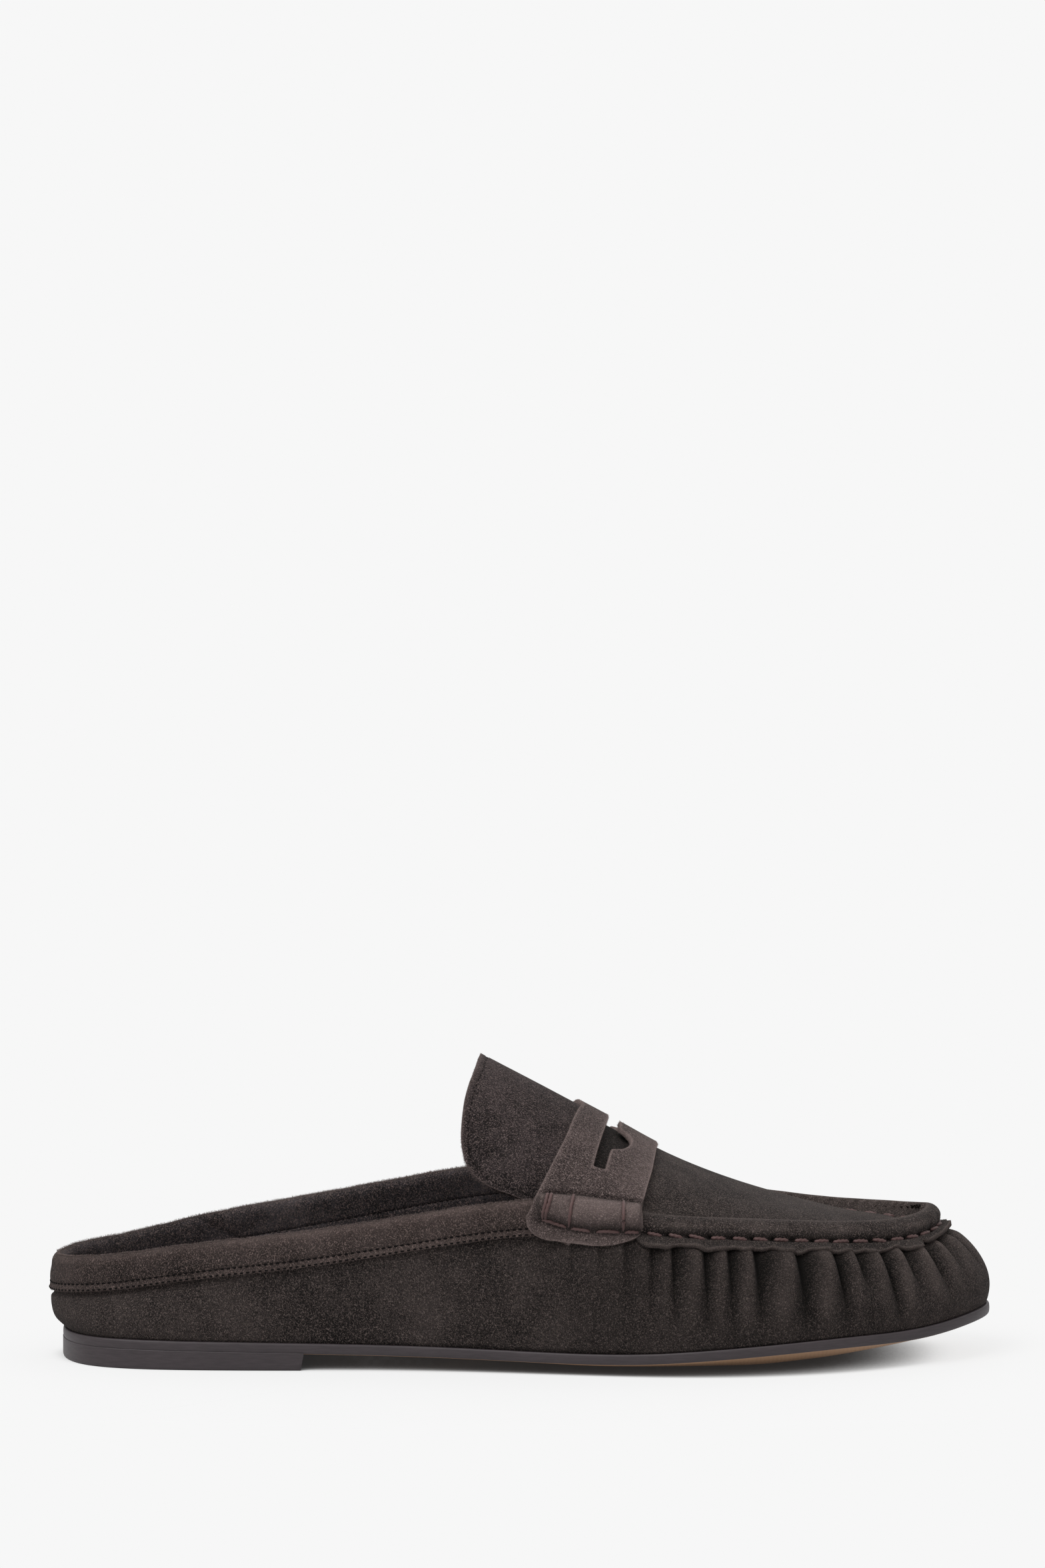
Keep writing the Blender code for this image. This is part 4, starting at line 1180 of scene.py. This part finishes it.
    paths = []
    for side in (-1, 1):
        for first, second in strapPiece["wraps"]:
            path = []
            for n in np.linspace(0, 1, 22):
                x = first + (second - first) * n
                point, away = spot(side, x, rollTop - 0.2 + (footOfRoll(x) - rollTop + 0.3) * n)
                path.append(point + (0.42 - 1.0 * (2 * n - 1) ** 10) * away)
            paths.append(path)
        for first, second in strapPiece["stitches"]:
            path = []
            for n in np.linspace(0, 1, 17):
                x = first + (second - first) * n
                point, away = spot(side, x, footOfRoll(x) + 0.25)
                path.append(point + (0.45 - 0.9 * (2 * n - 1) ** 8) * away)
            paths.append(path)
    dress(tubes("rollThread", paths, strapPiece["thread"], **handThread), (thread,))


# The sole, its heel lift and the footbed
solePiece = {
    "columns": 150, "thick": 3.0, "ledge": 0.8,
    "edge": (           # its rounded edge: mm out from the ledge, mm up from the top
        (-0.9, 0), (-0.25, -0.02), (0, -0.22), (0.1, -0.8), (0.14, -1.5), (0.1, -2.2), (-0.02, -2.75),
        (-0.3, -2.98), (-1, -3),
    ),
    "top": (0, 0.3, 0.6, 0.85), "under": (0.9, 0.76, 0.6, 0.42, 0.2, 0),
}


def wholeRing(half):                    # columns of share, out and level, from one half of a ring
    ring = half + [(-share, out, level) for share, out, level in half[::-1]][1:]
    return [np.array(column)[None, :] for column in zip(*ring)]


def paintUnder(piece, looks, steep):    # the second look goes on the faces that look down
    wear(piece, looks)
    normals = np.empty(len(piece.data.polygons) * 3, np.float32)
    piece.data.polygons.foreach_get("normal", normals)
    piece.data.polygons.foreach_set("material_index", (normals[2::3] < steep).astype(np.int32))


def makeSole(edgeFinish, underFinish):
    half = [(share, solePiece["ledge"] - 0.9, 0) for share in solePiece["top"]]
    half += [(1, out + solePiece["ledge"], level) for out, level in solePiece["edge"]]
    half += [(share, solePiece["ledge"] - 1, -solePiece["thick"]) for share in solePiece["under"]]
    share, out, level = wholeRing(half)
    c = toe * (1 - np.cos(np.linspace(0, math.pi, solePiece["columns"] + 1))) / 2
    c = 0.5 * c + 0.5 * np.linspace(0, toe, solePiece["columns"] + 1)
    points = soleTop(c[:, None], share, out[..., None]) + level[..., None] * up
    piece = gridPiece("soleLeather", points, {})
    edit(piece, mergeDoubles, faceAllOut)
    soften(piece)
    paintUnder(piece, (edgeFinish, underFinish), -0.8)
    dress(piece, (), ("outsole",))


heelPiece = {
    "columns": 70, "breast": -58.5, "rake": 0.8, "over": 0.35, "proud": 0.03, "high": 4.6,
    "foot": ((0.14, 0.9), (0.1, 0.45), (-0.05, 0.12), (-0.4, 0), (-1.2, 0)),
}


def closeBreast():                      # fills the open front of the lift
    bpy.ops.mesh.select_all(action="DESELECT")
    bpy.ops.mesh.select_non_manifold()
    bpy.ops.mesh.edge_face_add()
    bpy.ops.mesh.select_all(action="SELECT")


def makeHeel(finish):
    c = np.linspace(0, rowAt(heelPiece["breast"]), heelPiece["columns"] + 1)
    top = -solePiece["thick"] + heelPiece["over"]
    out = solePiece["ledge"] + 0.14 + heelPiece["proud"]
    half = [(share, solePiece["ledge"] - 2, top - 0.2) for share in (0, 0.4, 0.8)]
    half += [(1, out - 0.8, top), (1, out - 0.1, top), (1, out, top - 0.12), (1, out, top - 1.2)]
    hung = len(half)                            # these follow the sole, and the rest stand on the floor
    half += [(1, out + shift - 0.14, high) for shift, high in heelPiece["foot"]]
    half += [(share, out - 1.3, 0) for share in (0.85, 0.6, 0.3, 0)]
    share, out, level = wholeRing(half)
    points = soleTop(c[:, None], share, out[..., None])
    item = np.arange(level.size)
    standing = (item >= hung) & (item < level.size - hung)
    points[..., 2] = np.where(standing[None, :], level, points[..., 2] + level)
    back = points[..., 0].min()
    sunk = np.clip(1 - points[..., 2] / heelPiece["high"], 0, 1)
    points[..., 0] -= heelPiece["rake"] * sunk * (points[..., 0] - back) / (heelPiece["breast"] - back)
    piece = gridPiece("heelLift", points, {})
    edit(piece, mergeDoubles, closeBreast, faceAllOut)
    modify(piece, "BEVEL", width=0.3 * mm, segments=3, limit_method="ANGLE", angle_limit=math.radians(60))
    edit(piece, mergeDoubles)
    dress(piece, (finish,), ("heel",))
    bpy.ops.object.shade_smooth_by_angle(angle=math.radians(35))


footbedPiece = {"columns": 90, "across": 24, "inset": 2.6, "lift": 0.45, "thick": 2.5, "dish": 0.5}


def makeFootbed(look):
    c = np.linspace(0, toe, footbedPiece["columns"] + 1)[:, None]
    share = sineSteps(footbedPiece["across"])[None, :]
    points = soleTop(c, share, -footbedPiece["inset"]) + footbedPiece["lift"] * up
    pillow = footbedPiece["dish"] * np.clip(1 - share ** 8, 0, 1) * ramp(0, 0.6, c) * ramp(0, 0.6, toe - c)
    points = points + pillow[..., None] * up
    piece = gridPiece("footbed", points, {})
    edit(piece, mergeDoubles)
    if sum(face.normal.z for face in piece.data.polygons) < 0:
        edit(piece, bpy.ops.mesh.flip_normals)
    thicken(piece, footbedPiece["thick"], outwards=True)
    soften(piece)
    dress(piece, (look,), ("insole",))


def build():
    looks = {name: suedeLook(name) for name in suede}
    thread, fineThread = threadLook(), machineThreadLook()
    makeCamera()
    makeFloor()
    makeLight()
    makeWall((looks["wallSuede"], looks["liningSuede"]))
    makeApron((looks["apronSuede"],))
    makeSeamStitches(thread)
    makeBinding(looks["bindingSuede"], fineThread)
    makeTongue((looks["tongueSuede"], looks["liningSuede"]), fineThread)
    makeStrap(looks["strapSuede"], thread)
    makeFuzz(fuzzLook())
    dyedEdge = edgeLook()
    makeSole(dyedEdge, tanLook())
    makeHeel(dyedEdge)
    makeFootbed(footbedLook())


build()
